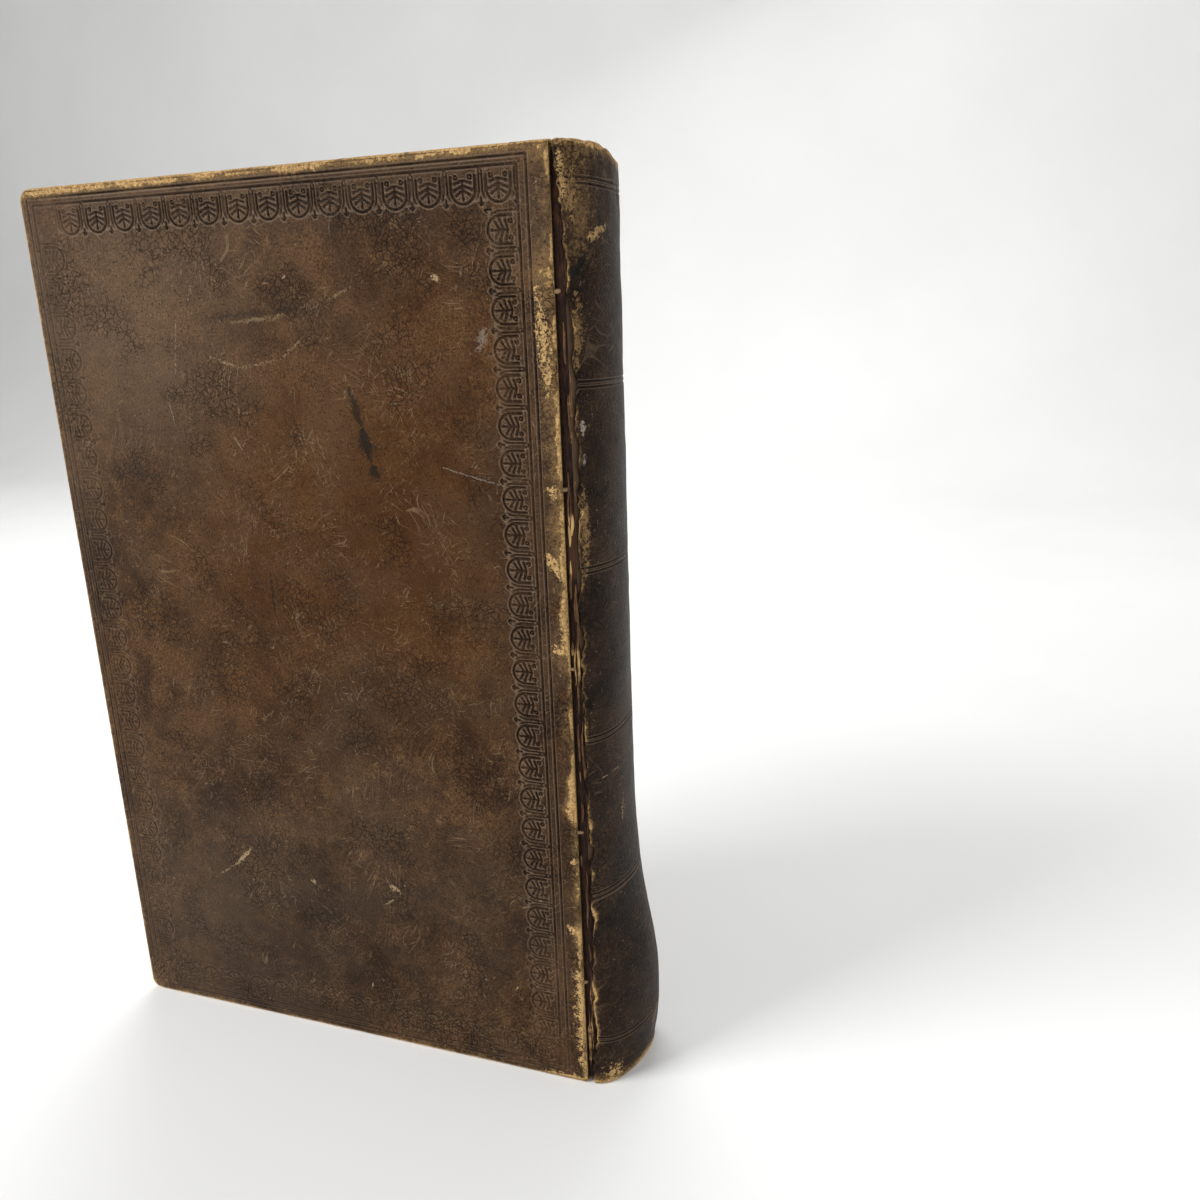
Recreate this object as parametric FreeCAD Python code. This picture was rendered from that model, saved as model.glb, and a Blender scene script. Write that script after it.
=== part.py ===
import FreeCAD, Part
import math
import os

# Antique book in a full leather binding, standing on its tail with both covers closed.
# Millimetres. +Z runs from tail to head, +X points out of the spine, +Y points to the front board.
# The rear board's outer face looks along -Y. The origin is under the middle of the book, on its base.

# The closed book
book_height = 245.0
book_thickness = 35.0
board_width = 152.0

# Boards and the leather over them
leather = 0.8
millboard = 2.6
board_setback = 0.5
board_corner = 3.5
leather_edge_bevel = 0.6
turn_in_leather = 0.5
turn_in_width = 13.0
mitre_line_width = 0.3
mitre_line_depth = 0.15

# Papers
pastedown_paper = 0.2
pastedown_margin = 3.0
flyleaf_paper = 0.2
closing_gap = 0.1

# Text block: sewn gatherings, rounded and backed
square = 3.0
fore_edge_hollow = 3.5
back_bulge = 5.4
shoulder_gap = 0.35
shoulder_drop = 2.1

# Spine leather: smooth, pushed out at the tail and dented at the head cap
spine_leather = 0.9
spine_bulge = 8.6
spine_edge_drop = 0.3
joint_gap = 0.3
flare_rise = 5.6
flare_height = 20.0
flare_below = 30.0
flare_above = 28.0
flare_skew = 2.0
flare_squareness = 0.25
flare_fade = 90.0
cap_round = 0.8
cap_lip = 2.5
spine_turn_in = 12.0
head_dent = 2.5
head_dent_turn = 22.0
head_dent_width = 30.0

# The rear joint is cracked: height up the joint and how far the spine leather has drawn back
crack_line = [(0.0, 1.6), (14.0, 2.9), (65.0, 3.1), (115.0, 2.7), (147.0, 3.2), (162.0, 3.6),
              (181.0, 3.9), (203.0, 2.8), (222.0, 1.4), (232.0, 0.6)]

# Lining, hollow and sewing
lining = 0.3
hollow_wall = 0.4
paste_gap = 0.05
loose_gap = 0.3
hollow_start = 2.2
cord_diameter = 1.4
kerf = 1.8
cord_count = 5
end_cord_height = 32.0
slip_width_in = 3.0
slip_width_out = 9.0
slip_length = 17.0
slip_thickness = 0.5
slip_hole_inset = 5.0
inner_slip_length = 9.0
endband_diameter = 1.8
endband_fit = 0.1
sewing_turn = 78.0
round_sides = 8
bend_steps = 18
spline_points = 4

# How far a cutting shape reaches past the faces that it cuts
overcut = 1.0

# Blind tooling: double fillets across the spine
spine_fillet_count = 6
low_fillet_height = 14.7
head_fillet_drop = 8.6
spine_fillet_spacing = 1.3
spine_fillet_width = 0.5
spine_fillet_depth = 0.25

# Blind tooling: a two-line frame and a roll of rounded arches round each board
tool_depth = 0.25
frame_line_width = 0.5
frame_outer_inset = 2.7
frame_inner_inset = 4.5
frame_outer_joint_inset = 5.3
frame_inner_joint_inset = 7.6
roll_pitch = 8.82
arch_radius = 3.7
arch_leg = 2.4
arch_line = 0.6
arch_inset = 8.4
arch_joint_inset = 11.4
side_roll_start = 18.2
side_roll_count = 25
end_roll_start = 12.2
end_roll_count = 15
arch_sides = 6
leaf_length = 4.8
leaf_width = 3.2
leaf_shoulder = 0.6

V = FreeCAD.Vector


def evenly(first, last, count):
    return [first + (last - first) * i / (count - 1) for i in range(count)]


half_thickness = book_thickness / 2
spine_half_width = half_thickness - spine_edge_drop


def spine_bulge_at(z):
    """How far the spine's crown stands out at a height above the tail."""
    reach = flare_below if z < flare_height else flare_above
    return spine_bulge + flare_rise * math.exp(-((z - flare_height) / reach) ** 2)


def flare_share(z):
    """1 at the flared tail, fading to 0 up the spine."""
    s = min(max((z - flare_height) / (flare_fade - flare_height), 0.0), 1.0)
    return 1.0 - s * s * (3.0 - 2.0 * s)


def spine_crown(turn, z):
    """Distance of the leather's outer face beyond the joint, at a turn round the spine."""
    share = flare_share(z)
    rounding = max(math.cos(turn), 0.0) ** (1.0 - flare_squareness * share)
    return (spine_bulge_at(z) + flare_skew * share * math.sin(turn)) * rounding


half_turns = [8, 23, 37, 50, 62, 72, 80, 86, 90]
turns = [math.radians(d) for d in [-h for h in reversed(half_turns)] + half_turns]
spine_reach = joint_gap + max(spine_crown(t, flare_height) for t in turns)
joint_x = (board_width - spine_reach) / 2

board_stack = leather + millboard + turn_in_leather + pastedown_paper
block_half = half_thickness - board_stack - closing_gap - flyleaf_paper
block_head = book_height - square
fore_x = joint_x - board_width + square
back_x = joint_x + shoulder_gap
shoulder_y = half_thickness - shoulder_drop
cord_heights = evenly(end_cord_height, book_height - end_cord_height, cord_count)
spine_fillet_heights = evenly(low_fillet_height, book_height - head_fillet_drop, spine_fillet_count)


def box(x0, y0, z0, x1, y1, z1):
    return Part.makeBox(x1 - x0, y1 - y0, z1 - z0, V(x0, y0, z0))


def half_ellipse_face(x, bulge, half_width, z):
    """Flat half ellipse that bulges towards the spine from a chord across the book."""
    ellipse = Part.Ellipse(V(x, half_width, z), V(x + bulge, 0, z), V(x, 0, z))
    arc = Part.Arc(ellipse, 0.0, math.pi).toShape()
    if arc.valueAt(arc.FirstParameter + (arc.LastParameter - arc.FirstParameter) / 2).x < x:
        arc = Part.Arc(ellipse, math.pi, 2 * math.pi).toShape()
    chord = Part.makeLine(V(x, -half_width, z), V(x, half_width, z))
    return Part.Face(Part.Wire([arc, chord]))


def half_ellipse_bar(x, bulge, half_width, z0, z1):
    return half_ellipse_face(x, bulge, half_width, z0).extrude(V(0, 0, z1 - z0))


def round_section(centre, along, radius):
    """Many-sided ring about a point, square to a direction."""
    up = V(0, 0, 1) if abs(along.z) < 0.9 else V(1, 0, 0)
    side = along.cross(up).normalize()
    steps = [2 * math.pi * (i % round_sides) / round_sides for i in range(round_sides + 1)]
    return Part.makePolygon([centre + side * (radius * math.cos(a)) + up * (radius * math.sin(a)) for a in steps])


def bent_round(x, bulge, half_width, z, radius):
    """Cord that follows a half ellipse, between equal turns each side of its crown."""
    sections = []
    for degrees in evenly(-sewing_turn, sewing_turn, bend_steps + 1):
        turn = math.radians(degrees)
        centre = V(x + bulge * math.cos(turn), half_width * math.sin(turn), z)
        along = V(-bulge * math.sin(turn), half_width * math.cos(turn), 0)
        sections.append(round_section(centre, along, radius))
    return Part.makeLoft(sections, True, True)


def make_text_block():
    half = block_half
    hollow_x = fore_x + fore_edge_hollow
    fore = Part.Arc(V(fore_x, -half, square), V(hollow_x, 0, square), V(fore_x, half, square)).toShape()
    back = half_ellipse_face(back_x, back_bulge, shoulder_y, square).Edges
    back_arc = [e for e in back if e.Curve.TypeId != "Part::GeomLine"][0]
    sides = []
    for s in (-1, 1):
        sides.append(Part.makeLine(V(fore_x, s * half, square), V(back_x, s * half, square)))
        sides.append(Part.makeLine(V(back_x, s * half, square), V(back_x, s * shoulder_y, square)))
    outline = Part.Wire(Part.__sortEdges__([fore, back_arc] + sides))
    block = Part.Face(outline).extrude(V(0, 0, block_head - square))
    for z in cord_heights:
        block = block.cut(kerf_ring(z))
    return block


def kerf_ring(z):
    """Sawn groove across the back of the gatherings, where a cord lies sunk."""
    low = z - kerf / 2
    whole = half_ellipse_bar(back_x, back_bulge + overcut, shoulder_y + overcut, low, low + kerf)
    core = half_ellipse_bar(back_x, back_bulge - kerf, shoulder_y - kerf, low, low + kerf)
    return whole.cut(core)


def make_sewing_cord(z):
    inset = kerf / 2
    return bent_round(back_x, back_bulge - inset, shoulder_y - inset, z, cord_diameter / 2)


def make_endband(z):
    inset = endband_diameter / 2 + endband_fit
    return bent_round(back_x, back_bulge - inset, shoulder_y - inset, z, endband_diameter / 2)


def make_spine_lining():
    low = square + spine_turn_in
    high = book_height - low
    near = paste_gap
    far = paste_gap + lining
    outer = half_ellipse_bar(back_x, back_bulge + far, shoulder_y + far, low, high)
    inner = half_ellipse_bar(back_x, back_bulge + near, shoulder_y + near, low, high)
    strip = box(joint_x + hollow_start, -half_thickness, low, joint_x + spine_reach, half_thickness, high)
    return outer.cut(inner).common(strip)


def make_spine_hollow():
    """Flattened paper tube between the lined back and the spine leather."""
    low = square + spine_turn_in
    high = book_height - low
    face_inset = spine_leather + loose_gap
    x = joint_x + joint_gap
    outer_bulge = spine_bulge - face_inset
    outer_half = spine_half_width - face_inset
    back_layers = paste_gap + lining + paste_gap
    inner_bulge = back_bulge + back_layers
    inner_half = shoulder_y + back_layers
    outer = half_ellipse_bar(x, outer_bulge, outer_half, low, high)
    inner = half_ellipse_bar(back_x, inner_bulge, inner_half, low, high)
    air_out = half_ellipse_bar(x, outer_bulge - hollow_wall, outer_half - hollow_wall, low, high)
    air_in = half_ellipse_bar(back_x, inner_bulge + hollow_wall, inner_half + hollow_wall, low, high)
    strip = box(joint_x + hollow_start, -half_thickness, low, joint_x + spine_reach, half_thickness, high)
    return outer.cut(inner).cut(air_out.cut(air_in)).common(strip)


def skin_point(turn, z, inset):
    """Point of the spine leather, a given depth under its outer face."""
    n = V(math.cos(turn) / spine_bulge, math.sin(turn) / spine_half_width, 0)
    n.normalize()
    x = joint_x + joint_gap + spine_crown(turn, z) - inset * n.x
    return V(x, spine_half_width * math.sin(turn) - inset * n.y, z)


def head_cap_height(turn):
    """The head cap is crushed down near the crown of the spine."""
    s = (math.degrees(turn) - head_dent_turn) / head_dent_width
    return book_height - head_dent * math.exp(-s ** 2)


def spine_lines():
    """Heights of the single blind lines, from the tail up."""
    offset = spine_fillet_spacing / 2
    return [z + side for z in spine_fillet_heights for side in (-offset, offset)]


def spine_profile(turn):
    """Closed section through the spine leather: outer face with its blind lines, rolled caps, turned-in ends."""
    top = head_cap_height(turn)
    thick = spine_leather + turn_in_leather
    edges = []

    def at(inset, z):
        return skin_point(turn, z, inset)

    def line(a, b):
        edges.append(Part.makeLine(at(*a), at(*b)))

    def upright(inset, z0, z1):
        if min(z0, z1) > flare_fade:
            line((inset, z0), (inset, z1))
            return
        curve = Part.BSplineCurve()
        curve.interpolate([at(inset, z) for z in evenly(z0, z1, spline_points)])
        edges.append(curve.toShape())

    def cap(ends):
        edges.append(Part.Arc(*[at(*p) for p in ends]).toShape())

    c = cap_round
    m = c * (1 - math.sqrt(0.5))
    w = spine_fillet_width / 2
    d = spine_fillet_depth
    low = c
    for z in spine_lines():
        upright(0, low, z - w)
        line((0, z - w), (d, z - w))
        line((d, z - w), (d, z + w))
        line((d, z + w), (0, z + w))
        low = z + w
    upright(0, low, top - c)
    cap([(0, top - c), (m, top - m), (c, top)])
    line((c, top), (cap_lip, top))
    line((cap_lip, top), (cap_lip, top - spine_leather))
    line((cap_lip, top - spine_leather), (thick, top - spine_leather))
    upright(thick, top - spine_leather, book_height - spine_turn_in)
    line((thick, book_height - spine_turn_in), (spine_leather, book_height - spine_turn_in))
    upright(spine_leather, book_height - spine_turn_in, flare_fade + flare_height)
    upright(spine_leather, flare_fade + flare_height, flare_height + flare_above)
    upright(spine_leather, flare_height + flare_above, spine_turn_in)
    line((spine_leather, spine_turn_in), (thick, spine_turn_in))
    upright(thick, spine_turn_in, spine_leather)
    line((thick, spine_leather), (cap_lip, spine_leather))
    line((cap_lip, spine_leather), (cap_lip, 0))
    line((cap_lip, 0), (c, 0))
    cap([(c, 0), (m, m), (0, c)])
    return Part.Wire(edges)


def crack_cutter():
    """Prism along the rear joint, whose edge follows the drawn-back leather."""
    y = -half_thickness - overcut
    edge = [V(joint_x + d, y, z) for z, d in crack_line]
    start = V(joint_x - overcut, y, -overcut)
    end = V(joint_x - overcut, y, book_height + overcut)
    first = V(edge[0].x, edge[0].y, start.z)
    last = V(edge[-1].x, edge[-1].y, end.z)
    outline = Part.makePolygon([start, first] + edge + [last, end, start])
    return Part.Face(outline).extrude(V(0, half_thickness, 0))


def make_spine_leather():
    skin = Part.makeLoft([spine_profile(t) for t in turns], True, True)
    return skin.cut(crack_cutter())


def board_outline(inset, joint_inset, corner, y):
    """Outline of a board in its own plane, rounded at the two fore-edge corners."""
    x0 = joint_x - board_width + inset
    x1 = joint_x - joint_inset
    z0 = inset
    z1 = book_height - inset
    r = corner
    m = r * (1 - math.sqrt(0.5))
    return Part.Wire([
        Part.makeLine(V(x1, y, z0), V(x0 + r, y, z0)),
        Part.Arc(V(x0 + r, y, z0), V(x0 + m, y, z0 + m), V(x0, y, z0 + r)).toShape(),
        Part.makeLine(V(x0, y, z0 + r), V(x0, y, z1 - r)),
        Part.Arc(V(x0, y, z1 - r), V(x0 + m, y, z1 - m), V(x0 + r, y, z1)).toShape(),
        Part.makeLine(V(x0 + r, y, z1), V(x1, y, z1)),
        Part.makeLine(V(x1, y, z1), V(x1, y, z0)),
    ])


def board_slab(inset, joint_inset, corner, y, depth):
    return Part.Face(board_outline(inset, joint_inset, corner, y)).extrude(V(0, depth, 0))


def window(inset, y, depth):
    """Upright rectangle inside the turn-ins, open towards the joint."""
    x0 = joint_x - board_width + inset
    return box(x0, y, inset, joint_x, y + depth, book_height - inset)


rear_face = -half_thickness
board_y = rear_face + leather
infill_y = board_y + millboard
pastedown_y = infill_y + turn_in_leather


def slip_shapes(z):
    """One frayed cord end: laced in from outside, through the board, and pasted down inside."""
    hole_x = joint_x - board_setback - slip_hole_inset
    edge_x = joint_x - board_setback
    w_in = slip_width_in / 2
    fan = Part.makePolygon([V(edge_x, board_y, z - w_in), V(edge_x, board_y, z + w_in),
                            V(hole_x, board_y, z + w_in), V(hole_x, board_y, z - w_in),
                            V(edge_x, board_y, z - w_in)])
    outside = Part.Face(fan).extrude(V(0, slip_thickness, 0))
    peg = Part.Face(round_section(V(hole_x, board_y, z), V(0, 1, 0), w_in)).extrude(V(0, millboard, 0))
    far_x = hole_x - inner_slip_length
    w_out = slip_width_out / 2
    y = infill_y - slip_thickness
    tail = Part.makePolygon([V(hole_x, y, z - w_in), V(hole_x, y, z + w_in), V(far_x, y, z + w_out),
                             V(far_x, y, z - w_out), V(hole_x, y, z - w_in)])
    inside = Part.Face(tail).extrude(V(0, slip_thickness, 0))
    return outside.fuse([peg, inside]).removeSplitter()


def make_cord_slips():
    return Part.makeCompound([slip_shapes(z) for z in cord_heights])


def make_board(slips):
    corner = board_corner - leather
    board = board_slab(leather, board_setback, corner, board_y, millboard)
    return board.cut(slips)


def arch_cutter(x, z, turn_deg):
    """Pressed arch with a raised leaf in it. Its open end points to the board's edge."""
    y = rear_face
    r = arch_radius
    steps = [math.pi * i / arch_sides for i in range(arch_sides + 1)]
    crown = [V(r * math.cos(a), y, r * math.sin(a)) for a in steps]
    feet = [V(-r, y, -arch_leg), V(r, y, -arch_leg), crown[0]]
    pocket = Part.Face(Part.makePolygon(crown + feet)).extrude(V(0, tool_depth, 0))
    low = arch_line - arch_leg
    top = low + leaf_length
    wide = low + leaf_length * leaf_shoulder
    half = leaf_width / 2
    tips = [V(0, y, low), V(half, y, wide), V(0, y, top), V(-half, y, wide), V(0, y, low)]
    leaf = Part.Face(Part.makePolygon(tips)).extrude(V(0, tool_depth, 0))
    cutter = pocket.cut(leaf)
    cutter.rotate(V(0, 0, 0), V(0, 1, 0), turn_deg)
    cutter.translate(V(x, 0, z))
    return cutter


def frame_line(inset, joint_inset):
    """One tooled line that runs round the board."""
    w = frame_line_width
    x0 = joint_x - board_width + inset
    x1 = joint_x - joint_inset
    outer = box(x0, rear_face, inset, x1, rear_face + tool_depth, book_height - inset)
    inner = box(x0 + w, rear_face, inset + w, x1 - w, rear_face + tool_depth, book_height - inset - w)
    return outer.cut(inner)


def tooling():
    fore = joint_x - board_width
    cutters = [frame_line(frame_outer_inset, frame_outer_joint_inset),
               frame_line(frame_inner_inset, frame_inner_joint_inset)]
    for i in range(side_roll_count):
        z = book_height - side_roll_start - i * roll_pitch
        cutters.append(arch_cutter(joint_x - arch_joint_inset, z, -90))
        cutters.append(arch_cutter(fore + arch_inset, z, 90))
    for i in range(end_roll_count):
        x = joint_x - end_roll_start - i * roll_pitch
        cutters.append(arch_cutter(x, book_height - arch_inset, 180))
        cutters.append(arch_cutter(x, arch_inset, 0))
    return Part.makeCompound(cutters)


def mitre_lines():
    """Fine line at each fore-edge corner, where the turned-in leather meets on the slant."""
    lines = []
    fore = joint_x - board_width
    length = (turn_in_width - leather) * math.sqrt(2) + mitre_line_width
    for z, turn in ((0.0, -45), (book_height, 45)):
        bar = box(0, 0, -mitre_line_width / 2, length, mitre_line_depth, mitre_line_width / 2)
        bar.rotate(V(0, 0, 0), V(0, 1, 0), turn)
        inward = leather if z == 0.0 else -leather
        bar.translate(V(fore + leather, pastedown_y - mitre_line_depth, z + inward))
        lines.append(bar)
    return Part.makeCompound(lines)


def make_board_leather():
    depth = leather + millboard + turn_in_leather
    skin = board_slab(0, 0, board_corner, rear_face, depth)
    rims = [e for e in skin.Edges if is_outer_rim(e, depth)]
    skin = skin.makeChamfer(leather_edge_bevel, rims)
    skin = skin.cut(board_slab(leather, 0, board_corner - leather, board_y, millboard))
    skin = skin.cut(window(turn_in_width, infill_y, turn_in_leather))
    skin = skin.cut(tooling())
    return skin.cut(mitre_lines())


def is_outer_rim(edge, depth):
    """True for edges of the two broad faces, apart from those at the joint."""
    b = edge.BoundBox
    flat = b.YLength < 1e-6
    at_joint = b.XMin > joint_x - 1e-6
    return flat and not at_joint


def make_infill():
    return window(turn_in_width, infill_y, turn_in_leather)


def make_pastedown():
    return window(pastedown_margin, pastedown_y, pastedown_paper)


def make_flyleaf():
    low = square
    y = -block_half - flyleaf_paper
    return box(fore_x, y, low, joint_x, y + flyleaf_paper, block_head)


def mirrored(shape):
    return shape.mirror(V(0, 0, 0), V(0, 1, 0))


def build():
    slips = make_cord_slips()
    cover = {
        "board": make_board(slips),
        "board_leather": make_board_leather(),
        "infill": make_infill(),
        "pastedown": make_pastedown(),
        "flyleaf": make_flyleaf(),
        "cord_slips": slips,
    }
    nodes = {
        "text_block": make_text_block(),
        "spine_leather": make_spine_leather(),
        "spine_lining": make_spine_lining(),
        "spine_hollow": make_spine_hollow(),
        "head_endband": make_endband(block_head + endband_diameter / 2),
        "tail_endband": make_endband(square - endband_diameter / 2),
    }
    for i, z in enumerate(cord_heights):
        nodes["sewing_cord_%d" % (i + 1)] = make_sewing_cord(z)
    for name, shape in cover.items():
        nodes["rear_" + name] = shape
        nodes["front_" + name] = mirrored(shape)
    return nodes


os.makedirs("parts", exist_ok=True)
for name, shape in build().items():
    shape.exportStep("parts/" + name + ".step")
    b = shape.BoundBox
    print("%-20s valid %s solids %d volume %.1f  x %.2f %.2f  y %.2f %.2f  z %.2f %.2f" % (
        name, shape.isValid(), len(shape.Solids), shape.Volume, b.XMin, b.XMax, b.YMin, b.YMax, b.ZMin, b.ZMax))
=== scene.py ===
import bpy
import bmesh
import math
import numpy as np
from mathutils import Matrix, Vector


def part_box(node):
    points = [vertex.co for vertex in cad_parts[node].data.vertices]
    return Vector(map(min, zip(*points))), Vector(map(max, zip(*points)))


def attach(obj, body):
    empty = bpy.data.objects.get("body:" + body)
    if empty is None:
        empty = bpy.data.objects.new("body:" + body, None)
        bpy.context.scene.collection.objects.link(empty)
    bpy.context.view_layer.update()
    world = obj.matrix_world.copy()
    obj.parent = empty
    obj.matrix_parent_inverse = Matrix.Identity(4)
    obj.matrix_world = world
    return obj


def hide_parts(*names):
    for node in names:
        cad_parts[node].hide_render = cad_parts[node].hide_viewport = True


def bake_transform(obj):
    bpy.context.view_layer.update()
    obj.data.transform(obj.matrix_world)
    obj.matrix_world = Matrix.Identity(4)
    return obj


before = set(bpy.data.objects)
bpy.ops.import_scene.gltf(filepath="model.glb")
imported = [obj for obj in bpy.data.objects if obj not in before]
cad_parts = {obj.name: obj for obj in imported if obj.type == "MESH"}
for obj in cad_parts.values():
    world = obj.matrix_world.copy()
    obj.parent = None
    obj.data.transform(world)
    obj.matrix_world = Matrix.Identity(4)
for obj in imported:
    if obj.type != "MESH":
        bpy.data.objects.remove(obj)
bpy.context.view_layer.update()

# Old calf binding. Lengths below are in millimetres; meshes are scaled to metres when they are made.
mm = 0.001
coverLow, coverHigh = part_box("rear_board_leather")
jointX = coverHigh.x / mm
boardWidth = (coverHigh.x - coverLow.x) / mm
bookHeight = coverHigh.z / mm
rearFace = coverLow.y / mm
print("frame loaded:", round(jointX, 3), round(boardWidth, 3), round(bookHeight, 3), round(rearFace, 3))


# Mesh and noise helpers
def softNoise(a, b, scale, seed):  # smooth value noise, -1 to 1
    grid = np.random.default_rng(seed).uniform(-1, 1, (64, 64))
    p = np.asarray(a, float) / scale + 320.0
    q = np.asarray(b, float) / scale + 320.0
    p0 = np.floor(p).astype(int)
    q0 = np.floor(q).astype(int)
    fp = p - p0
    fq = q - q0
    fp = fp * fp * (3 - 2 * fp)
    fq = fq * fq * (3 - 2 * fq)
    low = grid[p0 % 64, q0 % 64] * (1 - fp) + grid[(p0 + 1) % 64, q0 % 64] * fp
    high = grid[p0 % 64, (q0 + 1) % 64] * (1 - fp) + grid[(p0 + 1) % 64, (q0 + 1) % 64] * fp
    return low * (1 - fq) + high * fq


def lineNoise(a, scale, seed):  # varies along one direction only
    return softNoise(a, 0 * a, scale, seed)


def ramp(value, start, end):  # smooth step from 0 to 1
    s = np.clip((value - start) / (end - start), 0, 1)
    return s * s * (3 - 2 * s)


def hill(u, z, centreU, centreZ, reachU, reachZ):
    return np.exp(-((u - centreU) / reachU) ** 2 - ((z - centreZ) / reachZ) ** 2)


def makeObject(name, points, faces, attributes=None, sharpAngle=40, merge=None):
    mesh = bpy.data.meshes.new(name)
    mesh.from_pydata((np.asarray(points, float) * mm).tolist(), [], faces)
    for key, values in (attributes or {}).items():
        mesh.attributes.new(key, "FLOAT", "POINT").data.foreach_set("value", np.asarray(values, np.float32))
    if merge:
        work = bmesh.new()
        work.from_mesh(mesh)
        bmesh.ops.remove_doubles(work, verts=work.verts, dist=merge * mm)
        work.to_mesh(mesh)
        work.free()
    mesh.validate()
    mesh.shade_smooth()
    mesh.set_sharp_from_angle(angle=math.radians(sharpAngle))
    item = bpy.data.objects.new(name, mesh)
    bpy.context.scene.collection.objects.link(item)
    return item


def bridge(faces, first, second, flip=False):  # quads between two rows of vertices
    for k in range(len(first) - 1):
        quad = [first[k], first[k + 1], second[k + 1], second[k]]
        faces.append(quad[::-1] if flip else quad)


# Node helpers
def put(tree, kind, inputs=None, **settings):
    item = tree.nodes.new(kind)
    for key, value in settings.items():
        setattr(item, key, value)
    for key, value in (inputs or {}).items():
        if isinstance(value, bpy.types.NodeSocket):
            tree.links.new(value, item.inputs[key])
        else:
            item.inputs[key].default_value = value
    return item


def calc(tree, operation, *values, clamp=False):
    item = put(tree, "ShaderNodeMath", dict(enumerate(values)), operation=operation)
    item.use_clamp = clamp
    return item.outputs[0]


def vectorCalc(tree, operation, *values):
    item = put(tree, "ShaderNodeVectorMath", operation=operation)
    for key, value in enumerate(values):
        if isinstance(value, bpy.types.NodeSocket):
            tree.links.new(value, item.inputs[key])
        else:
            item.inputs[key].default_value = value
    return item.outputs["Value"] if operation in ("LENGTH", "DOT_PRODUCT", "DISTANCE") else item.outputs[0]


def remap(tree, value, fromMin, fromMax, toMin=0.0, toMax=1.0):
    item = put(tree, "ShaderNodeMapRange", interpolation_type="SMOOTHSTEP")
    for key, number in zip(("Value", "From Min", "From Max", "To Min", "To Max"),
                           (value, fromMin, fromMax, toMin, toMax)):
        if isinstance(number, bpy.types.NodeSocket):
            tree.links.new(number, item.inputs[key])
        else:
            item.inputs[key].default_value = number
    return item.outputs["Result"]


def mixColour(tree, factor, first, second):
    return put(tree, "ShaderNodeMix", {0: factor, 6: first, 7: second}, data_type="RGBA").outputs[2]


def noiseValue(tree, vector, scale, detail=4.0, roughness=0.55, distortion=0.0):
    item = put(tree, "ShaderNodeTexNoise", {"Vector": vector, "Scale": scale, "Detail": detail,
                                            "Roughness": roughness, "Distortion": distortion})
    return item.outputs[0]


def stretched(tree, vector, scale, turn=(0.0, 0.0, 0.0)):
    item = put(tree, "ShaderNodeMapping", {"Vector": vector, "Scale": scale, "Rotation": turn})
    return item.outputs["Vector"]


def newGroup(name, inputs, outputs):
    tree = bpy.data.node_groups.new(name, "ShaderNodeTree")
    for socketName, kind, value in inputs:
        socket = tree.interface.new_socket(name=socketName, in_out="INPUT", socket_type=kind)
        if value is not None:
            socket.default_value = value
    for socketName, kind in outputs:
        tree.interface.new_socket(name=socketName, in_out="OUTPUT", socket_type=kind)
    return tree, tree.nodes.new("NodeGroupInput").outputs, tree.nodes.new("NodeGroupOutput").inputs


def useGroup(tree, name, inputs):
    item = tree.nodes.new("ShaderNodeGroup")
    item.node_tree = bpy.data.node_groups[name]
    for key, value in inputs.items():
        if isinstance(value, bpy.types.NodeSocket):
            tree.links.new(value, item.inputs[key])
        else:
            item.inputs[key].default_value = value
    return item.outputs


def newMaterial(name, roughness, specular=0.5):
    material = bpy.data.materials.new(name)
    material.use_nodes = True
    tree = material.node_tree
    shader = tree.nodes["Principled BSDF"]
    shader.inputs["Roughness"].default_value = roughness
    shader.inputs["Specular IOR Level"].default_value = specular
    place = put(tree, "ShaderNodeTexCoord").outputs["Object"]
    return material, tree, shader, vectorCalc(tree, "MULTIPLY", place, (1000.0, 1000.0, 1000.0))


def attributeValue(tree, name):
    return put(tree, "ShaderNodeAttribute", attribute_name=name).outputs["Fac"]


def addBump(tree, shader, height, distance, strength=1.0):
    bump = put(tree, "ShaderNodeBump", {"Height": height, "Distance": distance * mm, "Strength": strength})
    tree.links.new(bump.outputs["Normal"], shader.inputs["Normal"])


def dress(item, material):
    item.data.materials.clear()
    item.data.materials.append(material)


# Shader groups shared by the finishes
colourSocket = "NodeSocketColor"
valueSocket = "NodeSocketFloat"
vectorSocket = "NodeSocketVector"


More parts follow.
